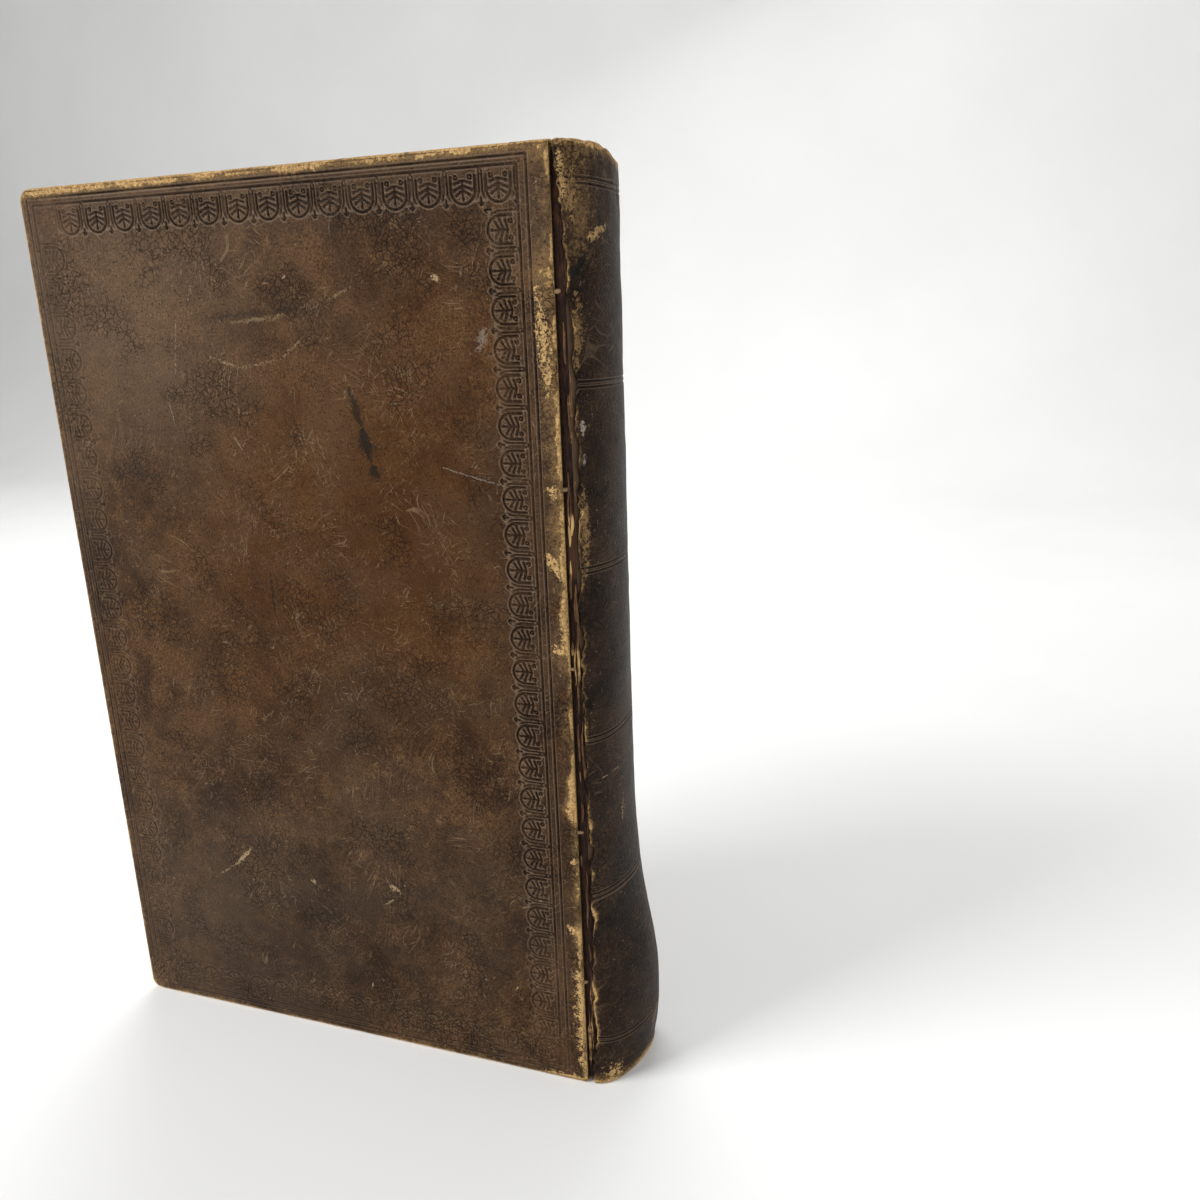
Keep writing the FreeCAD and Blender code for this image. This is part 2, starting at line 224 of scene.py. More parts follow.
def buildMottle():
    # cloudy calf colour: three browns over two sizes of cloud, with fine speckle
    tree, given, result = newGroup("calfMottle", [
        ("Vector", vectorSocket, None), ("Deep", colourSocket, None), ("Middle", colourSocket, None),
        ("Warm", colourSocket, None), ("Speckle", valueSocket, 0.3)],
        [("Colour", colourSocket), ("Cloud", valueSocket)])
    wide = noiseValue(tree, given["Vector"], 0.028, 3.0, 0.6, 0.4)
    close = noiseValue(tree, given["Vector"], 0.11, 5.0, 0.68)
    fine = noiseValue(tree, given["Vector"], 1.5, 4.0, 0.8)
    patch = noiseValue(tree, given["Vector"], 0.38, 5.0, 0.75)
    cloud = calc(tree, "ADD", calc(tree, "MULTIPLY", wide, 0.4), calc(tree, "MULTIPLY", close, 0.35))
    cloud = calc(tree, "ADD", cloud, calc(tree, "MULTIPLY", patch, 0.25))
    first = mixColour(tree, remap(tree, cloud, 0.42, 0.51), given["Deep"], given["Middle"])
    second = mixColour(tree, remap(tree, cloud, 0.5, 0.58), first, given["Warm"])
    grit = remap(tree, fine, 0.38, 0.64, 0.45, 1.55)
    lift = calc(tree, "ADD", calc(tree, "MULTIPLY", calc(tree, "SUBTRACT", grit, 1.0), given["Speckle"]), 1.0)
    tone = put(tree, "ShaderNodeHueSaturation", {"Color": second, "Value": lift})
    tree.links.new(tone.outputs["Color"], result["Colour"])
    tree.links.new(cloud, result["Cloud"])


def buildGrain():
    # calf grain: tight pebbles, pores and faint creases
    tree, given, result = newGroup("hideGrain", [
        ("Vector", vectorSocket, None), ("Size", valueSocket, 1.0)],
        [("Height", valueSocket), ("Pores", valueSocket), ("Cracks", valueSocket)])
    place = vectorCalc(tree, "SCALE", given["Vector"])
    tree.links.new(given["Size"], place.node.inputs["Scale"])
    pebble = put(tree, "ShaderNodeTexVoronoi", {"Vector": place, "Scale": 2.4, "Randomness": 1.0})
    fine = noiseValue(tree, place, 5.0, 1.0, 0.6)
    crease = noiseValue(tree, place, 0.55, 5.0, 0.7)
    pores = remap(tree, noiseValue(tree, place, 2.2, 2.0, 0.6), 0.6, 0.68)
    web = put(tree, "ShaderNodeTexNoise", {"Vector": place, "Scale": 0.5, "Detail": 1.0})
    bent = vectorCalc(tree, "ADD", place, vectorCalc(tree, "MULTIPLY", web.outputs["Color"], (2.4, 2.4, 2.4)))
    cell = put(tree, "ShaderNodeTexVoronoi", {"Vector": bent, "Scale": 0.55}, feature="DISTANCE_TO_EDGE")
    patch = remap(tree, noiseValue(tree, place, 0.05, 2.0, 0.6), 0.47, 0.62)
    cracks = calc(tree, "MULTIPLY", remap(tree, cell.outputs["Distance"], 0.07, 0.01), patch)
    high = calc(tree, "ADD", calc(tree, "MULTIPLY", pebble.outputs["Distance"], 0.35),
                calc(tree, "MULTIPLY", fine, 0.35))
    high = calc(tree, "ADD", high, calc(tree, "MULTIPLY", crease, 0.5))
    high = calc(tree, "SUBTRACT", high, calc(tree, "MULTIPLY", pores, 0.5))
    high = calc(tree, "SUBTRACT", high, calc(tree, "MULTIPLY", cracks, 0.9))
    tree.links.new(high, result["Height"])
    tree.links.new(pores, result["Pores"])
    tree.links.new(cracks, result["Cracks"])


def buildRub():
    # leather worn through to tan along edges: a ragged mask and a softer halo
    tree, given, result = newGroup("edgeRub", [
        ("Vector", vectorSocket, None), ("Rub", valueSocket, 0.0), ("Amount", valueSocket, 0.5)],
        [("Mask", valueSocket), ("Halo", valueSocket)])
    ragged = noiseValue(tree, given["Vector"], 0.7, 5.0, 0.85)
    wide = noiseValue(tree, given["Vector"], 0.07, 2.0, 0.6)
    present = remap(tree, given["Rub"], 0.02, 0.3)
    level = calc(tree, "ADD", given["Rub"], calc(tree, "MULTIPLY", calc(tree, "SUBTRACT", ragged, 0.5), 1.5))
    level = calc(tree, "ADD", level, calc(tree, "MULTIPLY", calc(tree, "SUBTRACT", wide, 0.5), 1.0))
    level = calc(tree, "MULTIPLY", calc(tree, "ADD", level, given["Amount"]), present)
    tree.links.new(remap(tree, level, 0.68, 0.84), result["Mask"])
    tree.links.new(remap(tree, level, 0.28, 0.8), result["Halo"])


def buildMarkNoise():
    # the unevenness that all the marks of one finish share
    tree, given, result = newGroup("markNoise", [("Vector", vectorSocket, None)],
                                   [("Wobble", colourSocket), ("Patchy", valueSocket), ("Rough", valueSocket)])
    wobble = put(tree, "ShaderNodeTexNoise", {"Vector": given["Vector"], "Scale": 0.5, "Detail": 3.0,
                                              "Roughness": 0.7})
    tree.links.new(wobble.outputs["Color"], result["Wobble"])
    tree.links.new(remap(tree, noiseValue(tree, given["Vector"], 1.1, 4.0, 0.75), 0.38, 0.62), result["Patchy"])
    rough = noiseValue(tree, given["Vector"], 2.2, 4.0, 0.85)
    tree.links.new(calc(tree, "MULTIPLY_ADD", rough, 2.6, -1.3), result["Rough"])


def buildMark():
    # one mark: a broken stroke between two places, on any surface
    tree, given, result = newGroup("strokeMark", [
        ("Vector", vectorSocket, None), ("Wobble", colourSocket, None), ("Patchy", valueSocket, 0.5),
        ("Rough", valueSocket, 0.0), ("Start", vectorSocket, None), ("End", vectorSocket, None),
        ("Width", valueSocket, 0.5), ("Broken", valueSocket, 0.5), ("Fade", valueSocket, 1.05)],
        [("Mask", valueSocket)])
    shift = vectorCalc(tree, "SUBTRACT", given["Wobble"], (0.5, 0.5, 0.5))
    push = vectorCalc(tree, "SCALE", shift)
    tree.links.new(calc(tree, "MULTIPLY", given["Width"], 2.2), push.node.inputs["Scale"])
    point = vectorCalc(tree, "ADD", given["Vector"], push)
    along = vectorCalc(tree, "SUBTRACT", given["End"], given["Start"])
    fromStart = vectorCalc(tree, "SUBTRACT", point, given["Start"])
    share = calc(tree, "DIVIDE", vectorCalc(tree, "DOT_PRODUCT", fromStart, along),
                 calc(tree, "ADD", vectorCalc(tree, "DOT_PRODUCT", along, along), 0.0001), clamp=True)
    foot = vectorCalc(tree, "SCALE", along)
    tree.links.new(share, foot.node.inputs["Scale"])
    away = vectorCalc(tree, "DISTANCE", fromStart, foot)
    taper = calc(tree, "MULTIPLY", share, calc(tree, "SUBTRACT", 1.0, share))
    slim = calc(tree, "MULTIPLY_ADD", taper, 2.2, 0.45)
    limit = calc(tree, "MULTIPLY", given["Width"],
                 calc(tree, "SUBTRACT", slim, calc(tree, "MULTIPLY", given["Patchy"], given["Broken"])))
    ratio = calc(tree, "DIVIDE", away, calc(tree, "MAXIMUM", limit, 0.01))
    tree.links.new(remap(tree, calc(tree, "ADD", ratio, given["Rough"]), given["Fade"], 0.5), result["Mask"])


def buildScratch():
    # a haze of fine scuffs in three directions
    tree, given, result = newGroup("fineScuffs", [
        ("Vector", vectorSocket, None), ("Amount", valueSocket, 0.5)], [("Mask", valueSocket)])
    total = None
    drift = put(tree, "ShaderNodeTexNoise", {"Vector": given["Vector"], "Scale": 0.035, "Detail": 1.0})
    patch = remap(tree, noiseValue(tree, given["Vector"], 0.06, 3.0, 0.65), 0.42, 0.6)
    drifted = vectorCalc(tree, "ADD", given["Vector"],
                         vectorCalc(tree, "MULTIPLY", drift.outputs["Color"], (34.0, 34.0, 34.0)))
    for turn, offset, size in ((0.35, 3.0, 1.0), (-0.9, 41.0, 1.3), (1.25, 77.0, 0.8)):
        moved = vectorCalc(tree, "ADD", drifted, (offset, 0.0, offset))
        turned = stretched(tree, moved, (1.0, 1.0, 1.0), (0.0, turn, 0.0))
        lines = noiseValue(tree, stretched(tree, turned, (0.24 * size, 0.05, 2.7 * size)), 1.0, 1.0, 0.5)
        mask = remap(tree, lines, 0.64, 0.71)
        total = mask if total is None else calc(tree, "MAXIMUM", total, mask)
    total = calc(tree, "MULTIPLY", total, patch)
    tree.links.new(calc(tree, "MULTIPLY", total, given["Amount"]), result["Mask"])


def buildPaper():
    # old laid paper: fibres, foxing spots and a browned rim
    tree, given, result = newGroup("oldPaper", [
        ("Vector", vectorSocket, None), ("Paper", colourSocket, None), ("Browned", colourSocket, None),
        ("Rim", valueSocket, 0.0)], [("Colour", colourSocket), ("Height", valueSocket)])
    wide = noiseValue(tree, given["Vector"], 0.016, 3.0, 0.5, 0.1)
    spots = remap(tree, noiseValue(tree, given["Vector"], 0.22, 3.0, 0.7), 0.66, 0.78)
    fibre = noiseValue(tree, stretched(tree, given["Vector"], (0.6, 3.0, 5.0)), 1.0, 5.0, 0.7)
    amount = calc(tree, "ADD", remap(tree, wide, 0.35, 0.75, 0.0, 0.4), calc(tree, "MULTIPLY", spots, 0.5))
    amount = calc(tree, "ADD", amount, given["Rim"], clamp=True)
    shade = mixColour(tree, amount, given["Paper"], given["Browned"])
    tone = put(tree, "ShaderNodeHueSaturation", {"Color": shade, "Value": remap(tree, fibre, 0.3, 0.7, 0.9, 1.08)})
    tree.links.new(tone.outputs["Color"], result["Colour"])
    tree.links.new(fibre, result["Height"])


for build in (buildMottle, buildGrain, buildRub, buildMarkNoise, buildMark, buildScratch, buildPaper):
    build()
print("shader groups ready")


# Tooling pressed into the boards
tooling = {
    "frameLines": [(2.7, 5.3), (4.5, 7.6)],  # inset from head, tail and fore edge; inset from the joint
    "lineWidth": 0.3,
    "depth": 0.58,
    "pitch": 8.82,
    "sideStart": 18.2,
    "sideCount": 25,
    "endStart": 12.2,
    "endCount": 15,
    "openEnd": 5.85,       # open end of the arches from the board's edge
    "jointOpenEnd": 9.0,   # the same along the joint
    "tailWear": 0.42,
    "foreWear": 0.45,
}


def strokeDistance(a, v, a0, v0, a1, v1):
    da = a1 - a0
    dv = v1 - v0
    share = np.clip(((a - a0) * da + (v - v0) * dv) / (da * da + dv * dv), 0, 1)
    return np.hypot(a - a0 - share * da, v - v0 - share * dv)


def palmette(a, v):  # one arch of the roll: a across it, v from its open end to its round end
    side = np.abs(a)
    rise = np.maximum(v - 3.35, 0)
    ring = np.hypot(side, rise)
    inArch = ramp(v, -0.1, 0.3)
    shapes = [
        np.exp(-((ring - 3.05) / 0.32) ** 2) * inArch,
        np.exp(-((ring - 3.98) / 0.28) ** 2) * inArch * (1 - ramp(v, 4.9, 6.4)) * 0.85,
        np.exp(-(strokeDistance(side, v, 0, 1.3, 0, 5.6) / 0.24) ** 2),
        np.exp(-(np.hypot(side, v - 5.3) / 0.42) ** 2),
        np.exp(-((np.hypot(side - 1.8, v - 0.65) - 0.42) / 0.22) ** 2),
        np.exp(-(strokeDistance(side, v, 4.41, 5.3, 4.41, 6.9) / 0.26) ** 2),
        np.exp(-(strokeDistance(side, v, 3.75, 6.3, 4.2, 6.9) / 0.22) ** 2),
        np.exp(-((np.hypot(side - 4.41, v + 0.25) - 0.5) / 0.22) ** 2) * 0.8,
    ]
    for a0, v0, a1, v1 in ((0.2, 1.4, 2.0, 2.0), (0.15, 2.5, 2.25, 3.4), (0.15, 3.5, 1.7, 4.5)):
        shapes.append(np.exp(-(strokeDistance(side, v, a0, v0, a1, v1) / 0.3) ** 2))
        shapes.append(np.exp(-(np.hypot(side - a1, v - v1) / 0.42) ** 2))
    return np.max(shapes, axis=0) * (v > -1.0) * (v < 7.4)


def archBand(along, across, start, count, sign):
    step = np.clip(np.round((along - start) / (sign * tooling["pitch"])), 0, count - 1)
    a = along - start - sign * step * tooling["pitch"]
    return palmette(a, across) * (np.abs(a) <= tooling["pitch"] / 2 + 0.05)


def toolingDepth(u, z):  # depth and firmness, 0 to 1, with u from the joint and z from the tail
    result = np.zeros_like(u)
    for inset, jointInset in tooling["frameLines"]:
        halfU = (boardWidth - inset - jointInset) / 2
        halfZ = bookHeight / 2 - inset
        p = np.abs(u - jointInset - halfU) - halfU
        q = np.abs(z - bookHeight / 2) - halfZ
        away = np.abs(np.hypot(np.maximum(p, 0), np.maximum(q, 0)) + np.minimum(np.maximum(p, q), 0))
        result = np.maximum(result, np.exp(-(away / tooling["lineWidth"]) ** 2))
    sideStart = bookHeight - tooling["sideStart"]
    jointBand = archBand(z, u - tooling["jointOpenEnd"], sideStart, tooling["sideCount"], -1)
    foreBand = archBand(z, boardWidth - tooling["openEnd"] - u, sideStart, tooling["sideCount"], -1)
    headBand = archBand(u, bookHeight - tooling["openEnd"] - z, tooling["endStart"], tooling["endCount"], 1)
    tailBand = archBand(u, z - tooling["openEnd"], tooling["endStart"], tooling["endCount"], 1)
    for band in (jointBand, foreBand, headBand, tailBand):
        result = np.maximum(result, band)
    kept = 0.66 + 0.34 * ramp(z, 5, 85)                       # the roll is shallower towards the tail
    kept *= 1 - (1 - tooling["tailWear"]) * (1 - ramp(z, 9, 20))
    kept *= 1 - (1 - tooling["foreWear"]) * ramp(u, boardWidth - 22, boardWidth - 9)
    kept *= 0.86 + 0.26 * softNoise(u, z, 7.0, 5)
    kept = np.clip(kept, 0, 1)
    return result * kept, kept


# Leather on the boards
boardLeather = {
    "columns": 394,
    "rows": 638,
    "fineColumns": (33, 353),
    "fineRows": (34, 604),
    "centreStep": 5,
    "flatInset": 1.2,
    "jointFlat": 1.0,
    "jointEdge": [(0.55, 0.04), (0.2, 0.22), (0.0, 0.6)],   # distance from the joint, how far it drops
    "edgeRings": [(0.8, 0.06), (0.45, 0.22), (0.2, 0.48), (0.05, 0.85), (0.0, 1.3), (0.0, 2.6),
                  (0.05, 3.05), (0.25, 3.5), (0.6, 3.8), (1.1, 3.9), (12.7, 3.9), (13.0, 3.75),
                  (13.0, 3.4), (0.8, 3.4), (0.8, 0.8)],     # inset from the outline, depth
    "thinAfter": 3,
    "swell": 0.09,
}


wearLayout = {
    "jointLine": 2.0,      # how far the bare tan edge reaches in from the joint
    "jointHaze": 5.4,      # the paler rubbed strip beside it
    "headLine": 2.9,
    "edgeLine": 1.5,
    "cornerReach": 7.5,
}


def boardRub(u, z, edgeAway):  # 0 to 1 where hands and shelves have worn the leather
    line = wearLayout["jointLine"] * (0.85 + 0.5 * lineNoise(z, 14.0, 61) + 0.4 * lineNoise(z, 4.0, 62))
    joint = (0.98 + 0.5 * lineNoise(z, 6.0, 63)) * np.exp(-(u / np.maximum(line, 0.7)) ** 2)
    haze = 0.58 * np.exp(-(u / wearLayout["jointHaze"]) ** 2) * (0.3 + 0.7 * ramp(z, 70, 165))
    haze += 0.18 * softNoise(u, z, 9.0, 64) * (haze > 0.15)
    edge = np.exp(-edgeAway / wearLayout["edgeLine"])
    headAway = (bookHeight - z) / wearLayout["headLine"]
    headEdge = (1.15 + 0.3 * lineNoise(u, 8.0, 65)) * np.exp(-headAway ** 2)
    reach = wearLayout["cornerReach"]
    corners = 0.95 * hill(u, z, 0, bookHeight, reach, reach) + 0.6 * hill(u, z, boardWidth, 0, reach, 12)
    corners += 0.45 * hill(u, z, 2, 0, 11, 3) + 0.5 * hill(u, z, boardWidth, bookHeight, reach, reach)
    return np.clip(np.max([joint, haze, edge, headEdge, corners], axis=0), 0, 1.1)


def boardTones(u, z, side):  # warm and dark areas of the dyed calf, and a grey painted sheen where the boards reflect the bright room
    if side > 0:
        u, z = boardWidth - 0.9 * u, 0.94 * z + 8
    amber = hill(u, z, 42, 150, 34, 52) + 0.9 * hill(u, z, 78, 168, 34, 30) + 0.6 * hill(u, z, 95, 120, 30, 40)
    amber += 0.45 * hill(u, z, 30, 205, 22, 22)
    border = np.exp(-np.minimum(np.minimum(u, boardWidth - u), np.minimum(z, bookHeight - z)) / 11.0)
    gloom = 0.7 * hill(u, z, 112, 32, 44, 34) + 0.2 * hill(u, z, 50, 62, 46, 34) + 0.5 * border
    gloom += 0.35 * hill(u, z, 62, 110, 26, 22) + 0.45 * hill(u, z, 88, 211, 18, 7)
    # grey: painted sheen, the leather greyed lighter where it reflects the room, most near the head and along the
    # border
    grey = 0.9 * hill(u, z, 122, 208, 44, 36) + 0.6 * border * ramp(z, 60, 220) + 0.5 * hill(u, z, 128, 30, 30, 40)
    grey += 0.3 * hill(u, z, 60, 50, 60, 50)
    noiseField = 0.25 * softNoise(u, z, 16.0, 71 + side) + 0.2 * softNoise(u, z, 6.0, 73 + side)
    return [np.clip(field + noiseField * 0.6, 0, 1) for field in (amber, gloom, grey)]


def boardPlace(u, z, depth, side):
    return np.stack([jointX - u, side * (-rearFace - depth), z + 0 * u], axis=-1)


def makeBoardLeather(name, side, seed):
    cols = boardLeather["columns"]
    rows = boardLeather["rows"]
    flat = boardLeather["flatInset"]
    uLine = boardWidth - flat - (boardWidth - flat - boardLeather["jointFlat"]) * np.arange(cols + 1) / cols
    uLine = np.concatenate([uLine, [u for u, drop in boardLeather["jointEdge"]]])
    drops = np.concatenate([np.zeros(cols + 1), [drop for u, drop in boardLeather["jointEdge"]]])
    zLine = flat + (bookHeight - 2 * flat) * np.arange(rows + 1) / rows
    gridU, gridZ = np.meshgrid(uLine, zLine, indexing="ij")
    last = len(uLine) - 1
    cornerU = uLine[0] - uLine[6]
    cornerZ = zLine[6] - zLine[0]
    for rowsHere, midZ, sign in ((slice(0, 7), zLine[6], -1),
                                 (slice(rows - 6, rows + 1), zLine[rows - 6], 1)):
        a = (gridU[:7, rowsHere] - uLine[6]) / cornerU
        b = sign * (gridZ[:7, rowsHere] - midZ) / cornerZ
        gridU[:7, rowsHere] = uLine[6] + cornerU * a * np.sqrt(1 - b * b / 2)
        gridZ[:7, rowsHere] = midZ + sign * cornerZ * b * np.sqrt(1 - a * a / 2)
    edgeAway = np.minimum(np.minimum(boardWidth - gridU, gridZ), bookHeight - gridZ)
    tool, firm = toolingDepth(gridU, gridZ)
    calm = ramp(edgeAway, 1.2, 7.0) * ramp(gridU, 1.0, 7.0)
    swell = softNoise(gridU, gridZ, 38.0, seed) + 0.5 * softNoise(gridU, gridZ, 13.0, seed + 1)
    depth = tool * tooling["depth"] + calm * (swell + 1.2) * boardLeather["swell"] + drops[:, None]
    ragged = softNoise(gridZ, gridU, 2.2, seed + 2) + 0.7 * softNoise(gridZ, gridU, 0.8, seed + 3)
    chip = np.clip(lineNoise(gridZ, 6.0, seed + 4) - 0.25, 0, 1)
    nearJoint = 1 - ramp(gridU, 0.0, 1.6)
    gridU = gridU + nearJoint * (0.26 * ragged + (0.75 + 0.5 * ramp(gridZ, 160, 200)) * chip) * (gridU < 1.6)
    gridU = np.maximum(gridU, 0.0)

    index = -np.ones((last + 1, rows + 1), int)
    i0, i1 = boardLeather["fineColumns"]
    j0, j1 = boardLeather["fineRows"]
    step = boardLeather["centreStep"]
    fine = np.zeros_like(index, bool)
    fine[:i0 + 1] = True
    fine[i1:] = True
    fine[:, :j0 + 1] = True
    fine[:, j1:] = True
    fine[i0:i1 + 1:step, j0:j1 + 1:step] = True
    index[fine] = np.arange(fine.sum())
    points = [boardPlace(gridU[fine], gridZ[fine], depth[fine], side)]
    rubs = [boardRub(gridU, gridZ, edgeAway)[fine]]
    tones = boardTones(gridU, gridZ, side)
    ambers = [tones[0][fine]]
    glooms = [tones[1][fine]]
    sheenGreys = [tones[2][fine]]
    tools = [tool[fine]]
    firms = [firm[fine]]
    faces = []
    for i in range(last):
        if i < i0 or i >= i1:
            spans = ((0, rows),)
        else:
            spans = ((0, j0), (j1, rows))
        for low, high in spans:
            bridge(faces, index[i, low:high + 1].tolist(), index[i + 1, low:high + 1].tolist(), True)
    for i in range(i0, i1, step):
        for j in range(j0, j1, step):
            low = list(range(i, i + step + 1, 1 if j == j0 else step))
            high = list(range(i, i + step + 1, 1 if j + step == j1 else step))
            left = list(range(j, j + step + 1, 1 if i == i0 else step))
            right = list(range(j, j + step + 1, 1 if i + step == i1 else step))
            ring = [index[k, j] for k in low] + [index[i + step, k] for k in right[1:]]
            ring += [index[k, j + step] for k in high[::-1][1:]] + [index[i, k] for k in left[::-1][1:-1]]
            faces.append([int(k) for k in ring])

    path = [(k, 0) for k in range(last, -1, -1)] + [(0, k) for k in range(1, rows + 1)]
    path += [(k, rows) for k in range(1, last + 1)]
    edge = np.array([index[p] for p in path])
    edgeU = np.array([gridU[p] for p in path])
    edgeZ = np.array([gridZ[p] for p in path])
    drop = np.array([drops[p[0]] for p in path])
    centreU = np.minimum(edgeU, uLine[6])
    centreZ = np.clip(edgeZ, zLine[6], zLine[rows - 6])
    outU = edgeU - centreU
    outZ = edgeZ - centreZ
    straight = np.array([abs(p[0]) > 6 for p in path])
    outU[straight] = 0
    size = np.hypot(outU, outZ)
    outU, outZ = outU / size, outZ / size
    worn = softNoise(np.arange(len(path)) * 0.38, 0 * edgeU, 3.0, seed + 6) * 0.07
    total = len(points[0])
    previous = edge.tolist()
    keep = np.arange(len(path))
    for number, (inset, deep) in enumerate(boardLeather["edgeRings"]):
        thin = number == boardLeather["thinAfter"]
        if thin:
            keep = keep[::2] if len(keep) % 2 else np.append(keep[::2], keep[-1])
        if inset > 2:
            ringU = np.clip(edgeU, 0, boardWidth - inset)
            ringZ = np.clip(edgeZ, inset, bookHeight - inset)
        else:
            soften = worn * (deep < 3.3) * (inset < 0.7)
            ringU = edgeU + outU * (flat - inset - np.abs(soften))
            ringZ = edgeZ + outZ * (flat - inset - np.abs(soften))
        ringDepth = drop + deep * (1 - drop / 3.9)
        if deep in (0.8, 3.4) and inset in (0.8, 13.0):
            ringDepth = np.full_like(drop, deep)
        ring = np.arange(total, total + len(keep))
        total += len(keep)
        points.append(boardPlace(ringU[keep], ringZ[keep], ringDepth[keep], side))
        rubs.append(np.full(len(keep), 1.0 if inset < 0.7 and deep < 3.9 else (0.75 if inset < 1.15 else 0.1)))
        tools.append(np.zeros(len(keep)))
        firms.append(np.zeros(len(keep)))
        ambers.append(np.full(len(keep), 0.1))
        glooms.append(np.full(len(keep), 0.35))
        sheenGreys.append(np.full(len(keep), 0.3))
        ringList = ring.tolist()
        if thin:
            for k in range(len(ringList) - 1):
                faces.append(previous[2 * k:2 * k + 3] + [ringList[k + 1], ringList[k]])
        else:
            bridge(faces, previous, ringList)
        previous = ringList
        if number == 0:
            firsts, lasts = [edge[0]], [edge[-1]]
        firsts.append(ringList[0])
        lasts.append(ringList[-1])
    faces.append(previous[::-1])
    section = [int(k) for k in index[last, :]] + [int(k) for k in lasts[1:]] + [int(k) for k in firsts[1:][::-1]]
    faces.append(section)
    if side > 0:
        faces = [f[::-1] for f in faces]
    fields = {"rub": rubs, "tooling": tools, "firm": firms, "amber": ambers, "gloom": glooms, "grey": sheenGreys}
    return makeObject(name, np.concatenate(points), faces,
                      {key: np.concatenate(values) for key, values in fields.items()}, 50, 0.002)


rearLeather = makeBoardLeather("rearBoardLeather", -1, 11)
frontLeather = makeBoardLeather("frontBoardLeather", 1, 29)
for item, cover, node in ((rearLeather, "rear_cover", "rear_board_leather"),
                          (frontLeather, "front_cover", "front_board_leather")):
    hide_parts(node)
    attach(item, cover)
print("board leather made:", len(rearLeather.data.polygons), "faces each")


# Leather on the spine
spineLeather = {
    "bulge": 8.6,
    "halfWidth": 17.2,
    "jointGap": 0.3,
    "flareRise": 5.6,
    "flareHeight": 20.0,
    "flareBelow": 30.0,
    "flareAbove": 28.0,
    "flareSkew": 2.0,
    "flareSquareness": 0.25,
    "flareFade": 90.0,
    "thickness": 0.9,
    "turnedIn": 1.4,
    "capLip": 2.5,
    "dent": 2.5,
    "dentTurn": 22.0,
    "dentWidth": 30.0,
    "columns": 112,
    "insideStep": 6,
    "lineSpacing": 1.3,
    "lineDepth": 0.24,
    "crack": [(0.0, 1.6), (14.0, 2.9), (65.0, 3.1), (115.0, 2.7), (147.0, 3.2), (162.0, 3.6),
              (181.0, 3.9), (203.0, 3.3), (222.0, 2.6), (232.0, 2.0), (240.0, 1.3), (245.0, 1.0)],
}
filletHeights = np.linspace(14.7, bookHeight - 8.6, 6)


def spineCrown(turn, z):
    reach = np.where(z < spineLeather["flareHeight"], spineLeather["flareBelow"], spineLeather["flareAbove"])
    bulge = spineLeather["bulge"] + spineLeather["flareRise"] * np.exp(
        -((z - spineLeather["flareHeight"]) / reach) ** 2)
    share = 1 - ramp(z, spineLeather["flareHeight"], spineLeather["flareFade"])
    power = 1 - spineLeather["flareSquareness"] * share
    return (bulge + spineLeather["flareSkew"] * share * np.sin(turn)) * np.maximum(np.cos(turn), 0) ** power


def spinePlace(turn, z, inset):
    nx = np.cos(turn) / spineLeather["bulge"]
    ny = np.sin(turn) / spineLeather["halfWidth"]
    size = np.hypot(nx, ny)
    x = jointX + spineLeather["jointGap"] + spineCrown(turn, z) - inset * nx / size
    y = spineLeather["halfWidth"] * np.sin(turn) - inset * ny / size
    return np.stack([x, y, z + 0 * x], axis=-1)


def crackTurn(z, seed):  # where the torn edge of the spine leather lies
    heights, gaps = zip(*spineLeather["crack"])
    gap = np.interp(z, heights, gaps)
    gap = gap + 0.3 * lineNoise(z, 7.0, seed + 2) - 0.4
    gap += 0.95 * np.abs(lineNoise(z, 3.6, seed)) + 0.6 * np.abs(lineNoise(z, 1.4, seed + 1))
    gap = np.maximum(gap - spineLeather["jointGap"], 0.05)
    turn = np.full_like(z, -1.2)
    for k in range(30):  # solve for the turn at that distance from the joint
        reach = spineCrown(turn, z)
        turn = turn - (reach - gap) * 0.05
        turn = np.clip(turn, -math.pi / 2, -0.6)
    return turn


